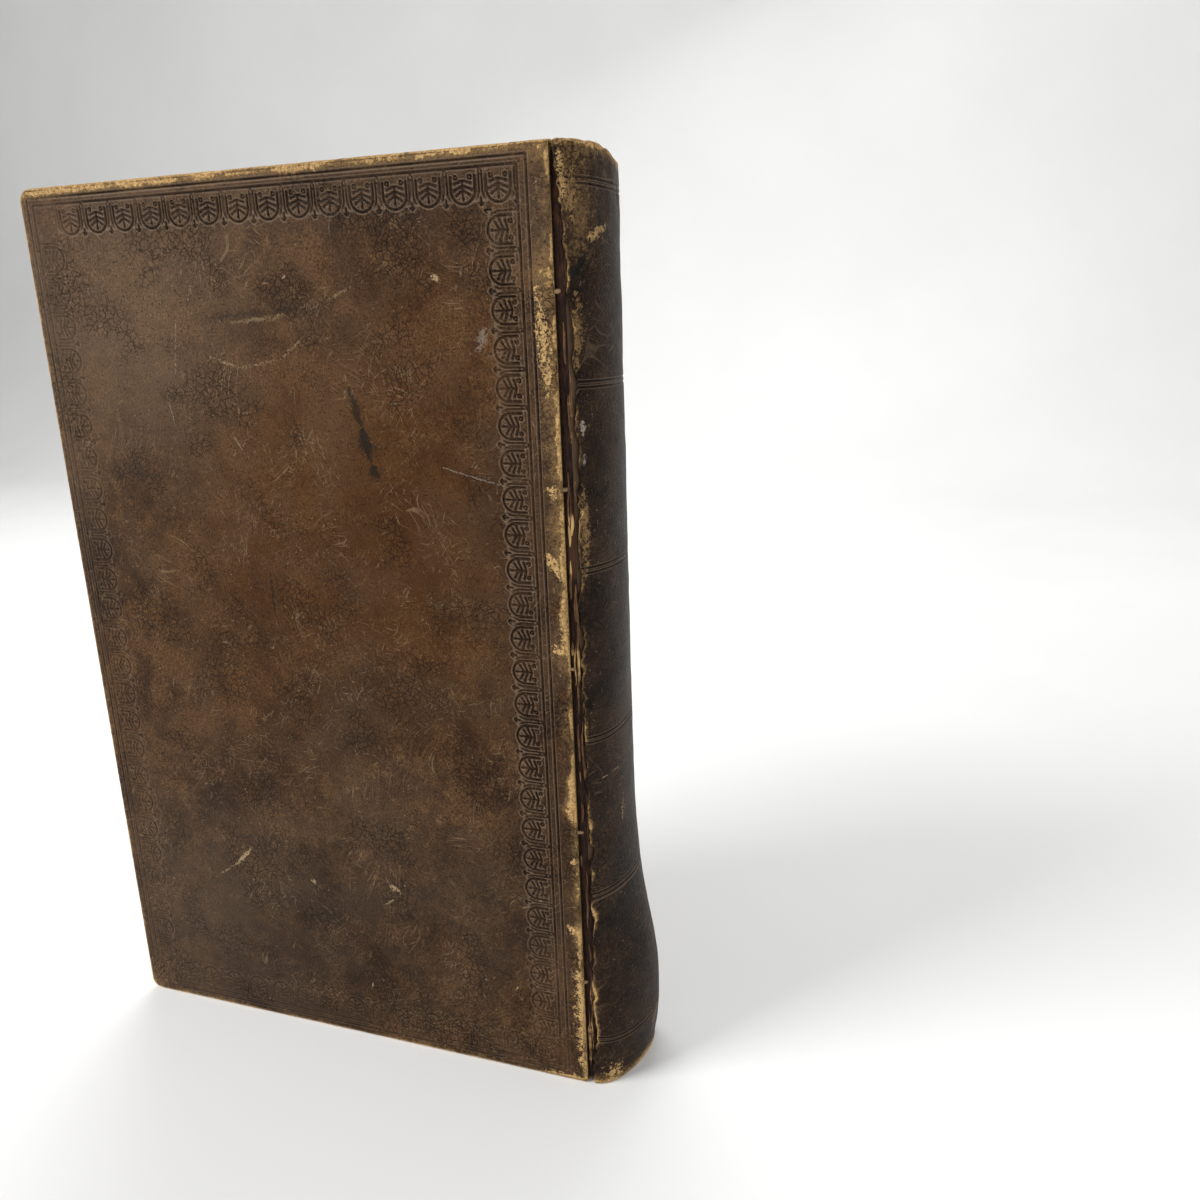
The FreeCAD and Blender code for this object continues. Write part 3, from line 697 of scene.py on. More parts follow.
def makeSpineLeather():
    heights = [0.8]
    while heights[-1] < bookHeight - 0.8:
        near = np.min(np.abs(filletHeights - heights[-1]))
        heights.append(heights[-1] + (0.22 if near < 1.7 else (0.55 if heights[-1] > 150 else 0.8)))
    heights = np.array(heights[:-1] + [bookHeight - 0.8])
    extra = (len(heights) - 1) % spineLeather["insideStep"]
    if extra:
        heights = np.concatenate([heights[:-1], np.linspace(heights[-2], heights[-1],
                                                            spineLeather["insideStep"] - extra + 2)[1:]])
    cols = spineLeather["columns"]
    share = np.arange(cols + 1) / cols
    start = crackTurn(heights, 3)

    def turnsAt(z, first):
        return first[None, :] + (math.pi / 2 - first[None, :]) * share[:, None]

    def capTop(turn):
        return bookHeight - spineLeather["dent"] * np.exp(
            -((np.degrees(turn) - spineLeather["dentTurn"]) / spineLeather["dentWidth"]) ** 2)

    turn = turnsAt(heights, start)
    z = np.broadcast_to(heights[None, :], turn.shape).copy()
    top = capTop(turn)
    high = z > 222
    z[high] = 222 + (z[high] - 222) * (top[high] - 0.8 - 222) / (bookHeight - 0.8 - 222)
    arc = np.degrees(turn) * 0.23
    lines = np.zeros_like(z)
    for height in filletHeights:
        for sign in (-1, 1):
            wave = 0.12 * lineNoise(arc, 9.0, int(height) + 3)
            lineAway = z - height - wave - sign * spineLeather["lineSpacing"] / 2
            lines = np.maximum(lines, np.exp(-(lineAway / 0.24) ** 2))
    away = (turn - start[None, :]) * 9.5
    wrinkle = softNoise(arc, z / 3.0, 1.7, 8) * 0.22 * ramp(z, 226, 240)
    wrinkle += softNoise(arc, z, 6.0, 9) * 0.12 * ramp(z, 200, 235)
    crumple = 0.16 * softNoise(arc, z, 11.0, 10) + 0.07 * softNoise(arc, z, 3.5, 12)
    curl = -0.32 * np.exp(-away / 0.9) * (0.5 + 0.8 * softNoise(z, away, 5.0, 13))
    flat = 1 - ramp(turn, 1.35, 1.5)
    inset = lines * spineLeather["lineDepth"] + (crumple + wrinkle + 0.12) * flat + curl * (z > 4)
    outer = spinePlace(turn, z, inset)
    capRub = 1.2 * np.exp(-(top - z) / 2.6)
    capRub = np.maximum(capRub, (1.25 - 0.45 * ramp(turn, -0.2, 0.7)) * np.exp(-z / 2.9))
    tear = 0.6 + 0.55 * lineNoise(z, 5.0, 14) + 0.35 * np.exp(-((z - 34) / 22) ** 2)
    rub = np.maximum(np.minimum(capRub, 1.1), tear * np.exp(-away / 0.75))
    headRub = 0.58 * ramp(z, 190, 236) * (1 - ramp(turn, -0.95, -0.1))
    headRub += 0.5 * hill(np.degrees(turn), z, -64, 165, 16, 30)
    rub = np.maximum(rub, headRub)

    points = [outer.reshape(-1, 3)]
    rubs = [rub.reshape(-1)]
    tools = [lines.reshape(-1)]
    rowCount = len(heights)
    index = np.arange(outer.shape[0] * rowCount).reshape(outer.shape[0], rowCount)
    faces = []
    for i in range(cols):
        bridge(faces, index[i].tolist(), index[i + 1].tolist(), True)

    total = index.size

    def addRow(place, rubValue):
        nonlocal total
        points.append(place)
        rubs.append(np.full(len(place), rubValue))
        tools.append(np.zeros(len(place)))
        total += len(place)
        return list(range(total - len(place), total))

    headTurn = turn[:, -1]
    tailTurn = turn[:, 0]
    headTop = capTop(headTurn)
    softTop = headTop + 0.25 * softNoise(np.degrees(headTurn) * 0.23, 0 * headTurn, 1.5, 21)
    chain = [index[:, -1].tolist()]
    for inset, below in ((0.12, 0.42), (0.4, 0.12), (0.8, 0.0), (1.6, 0.0), (2.5, 0.15), (2.5, 0.9), (1.4, 0.9)):
        chain.append(addRow(spinePlace(headTurn, np.minimum(softTop, bookHeight) - below, inset), 0.95))
    inside = index[0][::-1][::spineLeather["insideStep"]]
    insideHeights = heights[::-1][::spineLeather["insideStep"]]
    insideStart = start[::-1][::spineLeather["insideStep"]]
    innerRows = []
    for height, first in zip(insideHeights[1:-1], insideStart[1:-1]):
        rowTurn = first + (math.pi / 2 - first) * share
        depth = spineLeather["turnedIn"] if height > bookHeight - 12 or height < 12 else spineLeather["thickness"]
        innerRows.append(addRow(spinePlace(rowTurn, np.full_like(rowTurn, height), depth), 0.0))
    chain += innerRows
    for inset, height in ((1.4, 0.9), (2.5, 0.9), (2.5, 0.0), (0.8, 0.0), (0.4, 0.12), (0.12, 0.42)):
        chain.append(addRow(spinePlace(tailTurn, np.full_like(tailTurn, height), inset), 0.9))
    chain.append(index[:, 0].tolist())
    for first, second in zip(chain[:-1], chain[1:]):
        bridge(faces, first, second, True)

    # close the torn edge and the edge at the front joint
    for end, flip in ((0, False), (-1, True)):
        column = [row[end] for row in chain[:-1]]
        outerColumn = index[end, :].tolist()
        step = spineLeather["insideStep"]
        capCount = 7
        innerColumn = column[capCount + 1:capCount + 1 + len(innerRows)]
        headPart = column[0:capCount + 1] + [innerColumn[0]] + outerColumn[-1 - step:-1]
        tailCaps = column[capCount + 1 + len(innerRows):]
        polygons = [headPart]
        for k in range(len(innerRows) - 1):
            high = rowCount - 1 - step * (k + 1)
            polygons.append([innerColumn[k], innerColumn[k + 1]] + outerColumn[high - step:high + 1])
        polygons.append([innerColumn[-1]] + tailCaps + outerColumn[0:rowCount - step * len(innerRows)])
        for polygon in polygons:
            faces.append(polygon[::-1] if flip else polygon)
    return makeObject("spineLeather", np.concatenate(points), faces,
                      {"rub": np.concatenate(rubs), "tooling": np.concatenate(tools),
                       "firm": np.full(total, 0.6)}, 50)


spineSkin = makeSpineLeather()
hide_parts("spine_leather")
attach(spineSkin, "block")
print("spine leather made:", len(spineSkin.data.polygons), "faces")


# What the crack in the rear joint shows: torn leather, glue and shreds
crackRemnant = {
    "columns": 10,
    "rowStep": 0.9,
    "thickness": 0.25,
    "root": (0.12, 1.7),    # from the joint, and how deep under the board's face
    "crest": (0.9, 1.15),
    "shreds": 34,
}


def makeCrackRemnant():
    rowsZ = np.arange(1.5, bookHeight - 2.0, crackRemnant["rowStep"])
    turn = crackTurn(rowsZ, 3) + 0.12
    under = spinePlace(turn, rowsZ, spineLeather["thickness"] + 0.08)
    rootX, rootY = crackRemnant["root"]
    crestX, crestY = crackRemnant["crest"]
    cols = crackRemnant["columns"]
    points = []
    for k in range(cols + 1):
        share = k / cols
        first, second, third = (1 - share) ** 2, 2 * share * (1 - share), share ** 2
        x = first * (jointX + rootX) + second * (jointX + crestX) + third * under[:, 0]
        y = first * (rearFace + rootY) + second * (rearFace + crestY) + third * under[:, 1]
        fray = softNoise(rowsZ, 0 * rowsZ + 5 * k, 4.0, 41) + 0.6 * softNoise(rowsZ, 0 * rowsZ + 5 * k, 1.3, 42)
        points.append(np.stack([x, y + 0.16 * fray * math.sin(math.pi * share), rowsZ], axis=-1))
    front = np.stack(points)
    back = front + np.array([0.0, crackRemnant["thickness"], 0.0])
    count = front[..., 0].size
    index = np.arange(count).reshape(front.shape[:2])
    faces = []
    for k in range(cols):
        bridge(faces, index[k].tolist(), index[k + 1].tolist(), True)
        bridge(faces, (index[k] + count).tolist(), (index[k + 1] + count).tolist())
    rim = index[:, 0].tolist() + index[-1, 1:].tolist() + index[::-1, -1].tolist()[1:] + index[0, ::-1].tolist()[1:]
    bridge(faces, rim, [k + count for k in rim])
    return makeObject("crackRemnant", np.concatenate([front.reshape(-1, 3), back.reshape(-1, 3)]), faces)


def makeShreds():  # slivers of leather that still lie along the tear
    dice = np.random.default_rng(17)
    points = []
    faces = []
    for k in range(crackRemnant["shreds"]):
        length = dice.uniform(3, 17)
        low = dice.uniform(4, bookHeight - 22 - length) if k else 11.0
        if k == 0:
            length = 26.0
        wide = dice.uniform(0.12, 0.42)
        steps = max(5, int(length / 1.0))
        z = low + length * np.arange(steps + 1) / steps
        gap = np.interp(z, *zip(*spineLeather["crack"]))
        lane = dice.uniform(0.25, 0.95)
        x = jointX + gap * lane + 0.25 * lineNoise(z, 4.0, 50 + k)
        y = rearFace + 0.62 + 0.5 * lane + 0.22 * lineNoise(z, 3.0, 90 + k)
        width = wide * np.sin(math.pi * np.linspace(0.06, 0.97, steps + 1)) ** 0.6
        base = len(points)
        for j in range(steps + 1):
            lean = 0.5 * wide * math.sin(3 * j / steps + k)
            for dx, dy in ((-1, lean), (1, -lean), (0.7, 0.16), (-0.7, 0.2)):
                points.append((max(x[j] + dx * width[j], jointX + 0.03), y[j] + dy, z[j]))
        for j in range(steps):
            for c in range(4):
                a = base + 4 * j + c
                b = base + 4 * j + (c + 1) % 4
                faces.append([a, b, b + 4, a + 4])
        faces.append([base + 3, base + 2, base + 1, base])
        end = base + 4 * steps
        faces.append([end, end + 1, end + 2, end + 3])
    return makeObject("tornShreds", points, faces)


crackLayer = makeCrackRemnant()
shreds = makeShreds()
for item in (crackLayer, shreds):
    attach(item, "block")
print("torn joint made")


# Text block: sewn gatherings of uneven leaves
textLeaves = {
    "leaves": 118,
    "perGathering": 8,
    "unevenLeaf": 0.16,
    "unevenGathering": 0.14,
    "foreHollow": 3.5,
    "backBulge": 5.4,
    "square": 3.0,
    "halfThickness": 13.1,
    "shoulder": 15.4,
    "kerf": 1.8,
    "cordEnd": 32.0,
}
backX = jointX + 0.35
cordHeights = np.linspace(textLeaves["cordEnd"], bookHeight - textLeaves["cordEnd"], 5)


def makeTextBlock():
    dice = np.random.default_rng(7)
    count = textLeaves["leaves"]
    half = textLeaves["halfThickness"]
    gathering = np.arange(count) // textLeaves["perGathering"]
    uneven = [dice.uniform(0, textLeaves["unevenLeaf"], count)
              + dice.uniform(0, textLeaves["unevenGathering"], gathering.max() + 1)[gathering] for k in range(3)]
    tone = np.repeat(dice.uniform(0, 1, count) * 0.6 + dice.uniform(0, 0.4, gathering.max() + 1)[gathering], 2)
    fore, head, tail = (np.repeat(values, 2) for values in uneven)
    cuts = np.linspace(-half, half, count + 1)
    slot = 0.014
    y = np.stack([cuts[:-1] + slot, cuts[1:] - slot], axis=1).reshape(-1)
    y[0], y[-1] = -half, half
    hollow = textLeaves["foreHollow"]
    radius = (half * half + hollow * hollow) / (2 * hollow)
    foreX = jointX - boardWidth + textLeaves["square"] + hollow - (radius - np.sqrt(radius ** 2 - y * y)) + fore
    low = textLeaves["square"] + tail
    high = bookHeight - textLeaves["square"] - head
    wide = y * textLeaves["shoulder"] / half

    def backAt(depth):
        reach = textLeaves["backBulge"] - depth
        return backX + reach * np.sqrt(np.maximum(1 - (y / half) ** 2, 0)), wide * (1 - depth / textLeaves["shoulder"])

    rings = []
    for share in np.linspace(0, 1, 27):
        wave = 0.03 * softNoise(y * 0.5, 0 * y + 40 * share, 2.0, 31)
        rings.append((foreX + np.abs(wave) * (0 < share < 1), y, low + (high - low) * share))
    for share in np.linspace(0.03, 1, 16):
        rings.append((foreX + (backX - 0.35 - foreX) * share, y, high - 0.1 * share))
    backStart = len(rings)
    rings.append((backX + 0 * y, wide, high - 0.1))
    outX, outY = backAt(0)
    inX, inY = backAt(textLeaves["kerf"])
    rings.append((outX, outY, high - 0.15))
    for height in cordHeights[::-1]:
        for placeX, placeY, shift in ((outX, outY, 0.9), (inX, inY, 0.9), (inX, inY, -0.9), (outX, outY, -0.9)):
            rings.append((placeX, placeY, height + shift + 0 * y))
    rings.append((outX, outY, low + 0.15))
    rings.append((backX + 0 * y, wide, low + 0.1))
    backEnd = len(rings)
    for share in np.linspace(1, 0.03, 16):
        rings.append((foreX + (backX - 0.35 - foreX) * share, y, low + 0.1 * share))
    points = np.stack([np.stack(ring, axis=-1) for ring in rings], axis=1)   # column, ring, xyz
    index = np.arange(points.shape[0] * points.shape[1]).reshape(points.shape[:2])
    faces = []
    for k in range(len(y) - 1):
        bridge(faces, index[k].tolist() + [int(index[k, 0])], index[k + 1].tolist() + [int(index[k + 1, 0])], True)
    for column, turned in ((index[0].tolist(), False), (index[-1].tolist(), True)):
        for part in (column[:backStart] + column[backEnd:], column[backStart - 1:backEnd + 1]):
            faces.append(part[::-1] if turned else part)
    tones = np.repeat(tone[:, None], points.shape[1], axis=1)
    return makeObject("textLeaves", points.reshape(-1, 3), faces, {"leaf": tones.reshape(-1)}, 30)


leaves = makeTextBlock()
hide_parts("text_block")
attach(leaves, "block")


# Endbands: thread wound over a core
endband = {
    "wraps": 92,
    "core": 0.78,
    "thread": 0.1,
    "sides": 10,
    "turn": 78.0,
    "colourWraps": 5,
}


def tube(path, radii, sides, faces, points):  # closed round tube along a path
    path = np.asarray(path, float)
    along = np.gradient(path, axis=0)
    along /= np.linalg.norm(along, axis=1)[:, None]
    up = np.where(np.abs(along[:, 2:3]) > 0.9, np.array([[1.0, 0, 0]]), np.array([[0, 0, 1.0]]))
    side = np.cross(along, up)
    side /= np.linalg.norm(side, axis=1)[:, None]
    lift = np.cross(side, along)
    base = sum(len(block) for block in points)
    angles = 2 * math.pi * np.arange(sides) / sides
    radii = np.broadcast_to(radii, (len(path),))[:, None, None]
    block = path[:, None] + radii * (np.cos(angles)[None, :, None] * side[:, None]
                                     + np.sin(angles)[None, :, None] * lift[:, None])
    points.append(block.reshape(-1, 3))
    for j in range(len(path) - 1):
        for c in range(sides):
            a = base + j * sides + c
            b = base + j * sides + (c + 1) % sides
            faces.append([a, b, b + sides, a + sides])
    faces.append([base + c for c in range(sides)][::-1])
    faces.append([base + (len(path) - 1) * sides + c for c in range(sides)])


def makeEndband(name, node, z):
    count = endband["wraps"] * 4 + 1
    turn = np.radians(np.linspace(-endband["turn"], endband["turn"], count))
    share = np.arange(count) / 4.0
    path = np.stack([backX + (textLeaves["backBulge"] - 1.0) * np.cos(turn),
                     (textLeaves["shoulder"] - 1.0) * np.sin(turn), z + 0 * turn], axis=-1)
    radii = endband["core"] + endband["thread"] * np.abs(np.sin(math.pi * share)) \
        + 0.02 * lineNoise(share, 3.0, 77)
    points, faces = [], []
    tube(path, radii, endband["sides"], faces, points)
    band = (np.floor(share / endband["colourWraps"]) % 2) * 1.0
    crest = np.abs(np.sin(math.pi * share))
    item = makeObject(name, points[0], faces, {"winding": np.repeat(band, endband["sides"]),
                                               "crest": np.repeat(crest, endband["sides"])}, 60)
    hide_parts(node)
    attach(item, "block")
    return item


headBand = makeEndband("headEndband", "head_endband", bookHeight - textLeaves["square"] + 0.9)
tailBand = makeEndband("tailEndband", "tail_endband", textLeaves["square"] - 0.9)
print("text block and endbands made")


# Pieces that lie across the joints
joints = {
    "cordRadius": 0.5,
    "cordPath": [(-0.9, 16.45), (-0.45, 16.42), (0.0, 16.3), (0.4, 16.05), (0.75, 15.65), (1.0, 15.2),
                 (1.2, 14.7), (1.3, 14.2)],      # from the joint, from the middle of the book
    "boardLap": [(3.6, -0.25), (3.2, 0.0), (2.4, 0.06), (1.6, 0.09), (0.9, 0.06), (0.3, 0.0)],
    "spineLap": [(89.9, 0.10), (87, 0.08), (84, 0.06), (81, 0.04), (78, 0.0), (76, -0.3)],
    "skinThickness": 0.5,
    "foldReach": 2.2,
}


def makeHingeCords(name, side):
    points, faces = [], []
    for number, height in enumerate(cordHeights):
        path = joints["cordPath"]
        along = np.linspace(0, 1, len(path))
        route = [(jointX + x, side * y, height + 0.12 * math.sin(5 * t + number)) for (x, y), t in zip(path, along)]
        tube(route, joints["cordRadius"] * (1 + 0.12 * np.sin(9 * along + number)), 8, faces, points)
    item = makeObject(name, np.concatenate(points), faces, None, 60)
    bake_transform(item)
    return item


def makeFold(name, side):  # the endpaper's fold between flyleaf and pastedown
    rows = np.linspace(textLeaves["square"] + 0.3, bookHeight - textLeaves["square"] - 0.3, 40)
    reach = joints["foldReach"]
    bend = np.linspace(0, 1, 13)
    section = [(-reach, 13.305), (-reach / 2, 13.306)]
    section += [(0.02 - 0.25 * (1 - math.sin(math.pi * t)), 13.31 + 0.08 * t) for t in bend]
    section += [(-reach / 2, 13.394), (-reach, 13.395)]
    points = [[(jointX + x, side * y, z) for z in rows] for x, y in section]
    index = np.arange(len(section) * len(rows)).reshape(len(section), len(rows))
    faces = []
    for k in range(len(section) - 1):
        bridge(faces, index[k].tolist(), index[k + 1].tolist(), side < 0)
    item = makeObject(name, np.array(points).reshape(-1, 3), faces, None, 60)
    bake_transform(item)
    return item


def makeFrontJoint():
    rows = np.linspace(0.7, bookHeight - 0.7, 150)
    columns = []
    for u, rise in joints["boardLap"]:
        columns.append(np.stack([jointX - u + 0 * rows, -rearFace + rise + 0 * rows, rows], axis=-1))
    for degrees, rise in joints["spineLap"]:
        turn = np.full_like(rows, math.radians(degrees))
        columns.append(spinePlace(turn, rows, -rise))
    top = np.stack(columns)
    crease = 0.06 * lineNoise(rows, 5.0, 81) + 0.04 * lineNoise(rows, 1.6, 82)
    top[2:-2, :, 1] += np.minimum(crease, 0.02)[None, :]
    under = top.copy()
    under[..., 1] -= joints["skinThickness"]
    count = top[..., 0].size
    index = np.arange(count).reshape(top.shape[:2])
    faces = []
    for k in range(len(columns) - 1):
        bridge(faces, index[k].tolist(), index[k + 1].tolist())
        bridge(faces, (index[k] + count).tolist(), (index[k + 1] + count).tolist(), True)
    rim = index[:, 0].tolist() + index[-1, 1:].tolist() + index[::-1, -1].tolist()[1:] + index[0, ::-1].tolist()[1:]
    bridge(faces, rim, [k + count for k in rim], True)
    rub = np.zeros(top.shape[:2])
    rub[3:9] = 0.3 + 0.25 * lineNoise(rows, 9.0, 83)[None, :]
    rub[5:7] += 0.2
    item = makeObject("frontJointLeather", np.concatenate([top.reshape(-1, 3), under.reshape(-1, 3)]), faces,
                      {"rub": np.tile(rub.reshape(-1), 2)}, 60)
    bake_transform(item)
    return item


hingeCords = [makeHingeCords("rearHingeCords", -1), makeHingeCords("frontHingeCords", 1)]
folds = [makeFold("rearEndpaperFold", -1), makeFold("frontEndpaperFold", 1)]
frontJoint = makeFrontJoint()
print("joint pieces made")


# Finishes
brown = {
    "deep": (0.022, 0.010, 0.0045, 1.0),
    "middle": (0.050, 0.0235, 0.0098, 1.0),
    "warm": (0.092, 0.045, 0.018, 1.0),
    "amber": (0.076, 0.0285, 0.0055, 1.0),
    "gloom": (0.036, 0.023, 0.0145, 1.0),
    # grey laid on as painted sheen, the bright room reflected on the boards
    "sheenGrey": (0.155, 0.102, 0.064, 1.0),
    "tan": (0.56, 0.36, 0.15, 1.0),
    "nap": (0.27, 0.155, 0.062, 1.0),
    # painted highlight on the raised lips of the tooling, partly rubbed leather
    "ridgeHighlightAndRub": (0.20, 0.135, 0.088, 1.0),
    "halo": (0.23, 0.138, 0.058, 1.0),
    "speck": (0.30, 0.205, 0.115, 1.0),
    "fleck": (0.012, 0.007, 0.0045, 1.0),
    "scuff": (0.26, 0.175, 0.1, 1.0),
    "pore": (0.014, 0.008, 0.005, 1.0),
    "crack": (0.011, 0.0065, 0.004, 1.0),
    # painted shade in the tooled grooves, together with the dirt held in them
    "grooveShadeAndDirt": (0.010, 0.006, 0.004, 1.0),
    "spineDeep": (0.010, 0.0055, 0.0033, 1.0),
    "spineMiddle": (0.021, 0.011, 0.0062, 1.0),
    "spineWarm": (0.038, 0.021, 0.0115, 1.0),
}
layerStrength = {  # laid on in this order
    "amber": 0.62,
    "sheenGrey": 0.55,
    "gloom": 0.5,
    "speck": 0.75,
    "fleck": 0.7,
    "scuff": 0.6,
    "halo": 0.76,
    "pore": 0.72,
    "crack": 0.6,
    "ridgeHighlightAndRub": 0.75,
    "grooveShadeAndDirt": 0.9,
}
stain = (0.008, 0.008, 0.006, 1.0)


def leatherFinish(name, deep, middle, warm, rubAmount, scuffed, marks, roughness, specular):
    material, tree, shader, place = newMaterial(name, roughness, specular)
    mottle = useGroup(tree, "calfMottle", {"Vector": place, "Deep": deep, "Middle": middle, "Warm": warm,
                                           "Speckle": 0.95})
    grain = useGroup(tree, "hideGrain", {"Vector": place, "Size": 1.0})
    rub = useGroup(tree, "edgeRub", {"Vector": place, "Rub": attributeValue(tree, "rub"), "Amount": rubAmount})
    scuffs = useGroup(tree, "fineScuffs", {"Vector": place, "Amount": scuffed})
    tool = attributeValue(tree, "tooling")
    firm = attributeValue(tree, "firm")
    # the raised lips beside the tooled grooves are lightened: a painted highlight, partly their rubbing
    pattern = calc(tree, "DIVIDE", tool, calc(tree, "MAXIMUM", firm, 0.05))
    lipHighlightAndRub = calc(tree, "MULTIPLY", calc(tree, "MULTIPLY", remap(tree, pattern, 0.01, 0.1),
                                       remap(tree, pattern, 0.5, 0.2)), firm)
    cluster = remap(tree, noiseValue(tree, place, 0.045, 2.0, 0.6), 0.42, 0.6, 0.25, 1.0)
    specks = remap(tree, noiseValue(tree, place, 0.95, 4.0, 0.8), 0.625, 0.675)
    specks = calc(tree, "MULTIPLY", specks, cluster)
    flecks = remap(tree, noiseValue(tree, place, 0.5, 4.0, 0.8), 0.36, 0.3)
    # the tooling depth also lays painted shade, with dirt, into the grooves
    masks = {"amber": attributeValue(tree, "amber"), "sheenGrey": attributeValue(tree, "grey"),
             "gloom": attributeValue(tree, "gloom"), "speck": specks, "fleck": flecks, "scuff": scuffs["Mask"],
             "halo": rub["Halo"], "pore": grain["Pores"], "crack": grain["Cracks"], "ridgeHighlightAndRub": lipHighlightAndRub, "grooveShadeAndDirt": tool}
    colour = mottle["Colour"]
    for layer, amount in layerStrength.items():
        colour = mixColour(tree, calc(tree, "MULTIPLY", masks[layer], amount), colour, brown[layer])
    uneven = useGroup(tree, "markNoise", {"Vector": place})
    for start, end, width, broken, tint, strength in marks:
        mark = useGroup(tree, "strokeMark", {
            "Vector": place, "Wobble": uneven["Wobble"], "Patchy": uneven["Patchy"], "Rough": uneven["Rough"],
            "Start": start, "End": end, "Width": width, "Broken": broken, "Fade": 1.95 if tint == stain else 1.05})
        colour = mixColour(tree, calc(tree, "MULTIPLY", mark["Mask"], strength), colour, tint)
    nap = remap(tree, noiseValue(tree, place, 1.7, 3.0, 0.85), 0.38, 0.6)
    colour = mixColour(tree, rub["Mask"], colour, mixColour(tree, nap, brown["nap"], brown["tan"]))
    tree.links.new(colour, shader.inputs["Base Color"])
    rough = calc(tree, "ADD", roughness, calc(tree, "MULTIPLY", rub["Mask"], 0.3))
    rough = calc(tree, "ADD", rough, calc(tree, "MULTIPLY", calc(tree, "SUBTRACT", mottle["Cloud"], 0.5), 0.3))
    tree.links.new(rough, shader.inputs["Roughness"])
    height = calc(tree, "SUBTRACT", grain["Height"], calc(tree, "MULTIPLY", rub["Mask"], 0.8))
    addBump(tree, shader, height, 0.28)
    return material


def placed(where, marks):
    return [(where(a, b), where(c, d), *rest) for a, b, c, d, *rest in marks]


def onRear(u, z):
    return (jointX - u, rearFace, z)


pale = (0.42, 0.30, 0.17, 1.0)
grey = (0.21, 0.17, 0.135, 1.0)
rearMarks = [   # from u, z to u, z, half width, how broken, colour, strength
    (55.7, 191.6, 53.1, 181.8, 1.2, 0.5, stain, 0.75),
    (53.1, 181.8, 51.6, 174.3, 1.7, 0.35, stain, 0.85),
    (51.2, 173.0, 50.1, 169.3, 1.6, 0.4, stain, 0.8),
    (85.9, 143.5, 85.9, 130.0, 0.4, 0.6, stain, 0.7),
    (71.4, 219.6, 71.2, 219.0, 1.1, 0.3, pale, 0.8),
    (77.2, 218.2, 77.0, 217.6, 0.8, 0.3, pale, 0.6),
    (30.1, 217.4, 29.6, 216.6, 1.4, 0.3, pale, 0.8),
    (19.9, 27.2, 19.6, 26.9, 0.9, 0.2, pale, 0.8),
    (67.5, 18.0, 67.0, 17.8, 0.9, 0.3, pale, 0.7),
    (111.6, 50.9, 104.4, 57.7, 0.9, 0.5, pale, 0.8),
    (84.4, 49.9, 82.8, 49.6, 0.8, 0.4, pale, 0.6),
    (57.9, 53.0, 54.8, 50.9, 0.9, 0.5, pale, 0.7),
    (31.9, 172.8, 14.7, 168.2, 0.35, 0.6, grey, 0.8),
    (17.8, 205.0, 19.6, 200.5, 1.8, 0.6, grey, 0.6),
    (100.0, 210.0, 62.0, 211.5, 1.6, 0.9, stain, 0.5),
    (97.9, 201.0, 88.0, 197.6, 0.6, 0.95, pale, 0.3),
    (88.0, 197.6, 75.0, 199.3, 0.6, 0.95, pale, 0.3),
    (105.5, 212.5, 109.4, 190.9, 0.35, 0.8, grey, 0.6),
    (112.4, 192.2, 110.8, 183.0, 0.35, 0.6, grey, 0.7),
    (93.1, 181.7, 89.3, 175.1, 0.4, 0.6, grey, 0.7),
    (119.9, 45.2, 111.0, 51.5, 0.45, 0.7, pale, 0.5),
    (60.2, 46.2, 57.0, 48.5, 0.5, 0.6, pale, 0.4),
    (0.6, 166.6, 3.6, 168.0, 1.7, 0.8, brown["tan"], 0.9),
    (0.4, 127.0, 3.6, 128.4, 2.0, 0.75, brown["tan"], 0.95),
    (0.4, 83.0, 3.0, 82.6, 1.9, 0.75, brown["tan"], 0.95),
    (0.4, 69.5, 2.4, 69.0, 1.5, 0.75, brown["tan"], 0.9),
    (11.8, 55.6, 10.8, 55.2, 0.8, 0.5, pale, 0.8),
    (0.4, 47.5, 4.2, 49.2, 1.9, 0.75, brown["tan"], 0.95),
    (0.4, 44.0, 0.6, 4.0, 2.6, 0.6, brown["tan"], 0.9),
    (0.5, 140.0, 0.5, 126.0, 2.0, 0.7, brown["tan"], 0.8),
    (12.3, 0.8, 1.0, 1.2, 1.6, 0.6, brown["tan"], 0.85),
    (88.5, 208.8, 70.0, 210.2, 0.9, 0.98, pale, 0.3),
    (75.0, 199.3, 68.0, 204.5, 0.6, 0.95, pale, 0.3),
    (60.0, 213.0, 52.0, 216.5, 0.7, 0.95, pale, 0.3),
    (4.5, 152.0, 1.5, 146.0, 1.8, 0.8, brown["tan"], 0.8),
    (3.8, 214.0, 2.4, 190.0, 2.2, 0.95, brown["tan"], 0.8),
]
rearCalf = leatherFinish("rearCalf", brown["deep"], brown["middle"], brown["warm"], 0.02, 0.7,
                         placed(onRear, rearMarks), 0.44, 0.07)
frontCalf = leatherFinish("frontCalf", brown["deep"], brown["middle"], brown["warm"], 0.0, 0.7, [], 0.44, 0.07)


def onSpine(degrees, z):
    return tuple(spinePlace(np.array([math.radians(degrees)]), np.array([float(z)]), 0.0)[0])


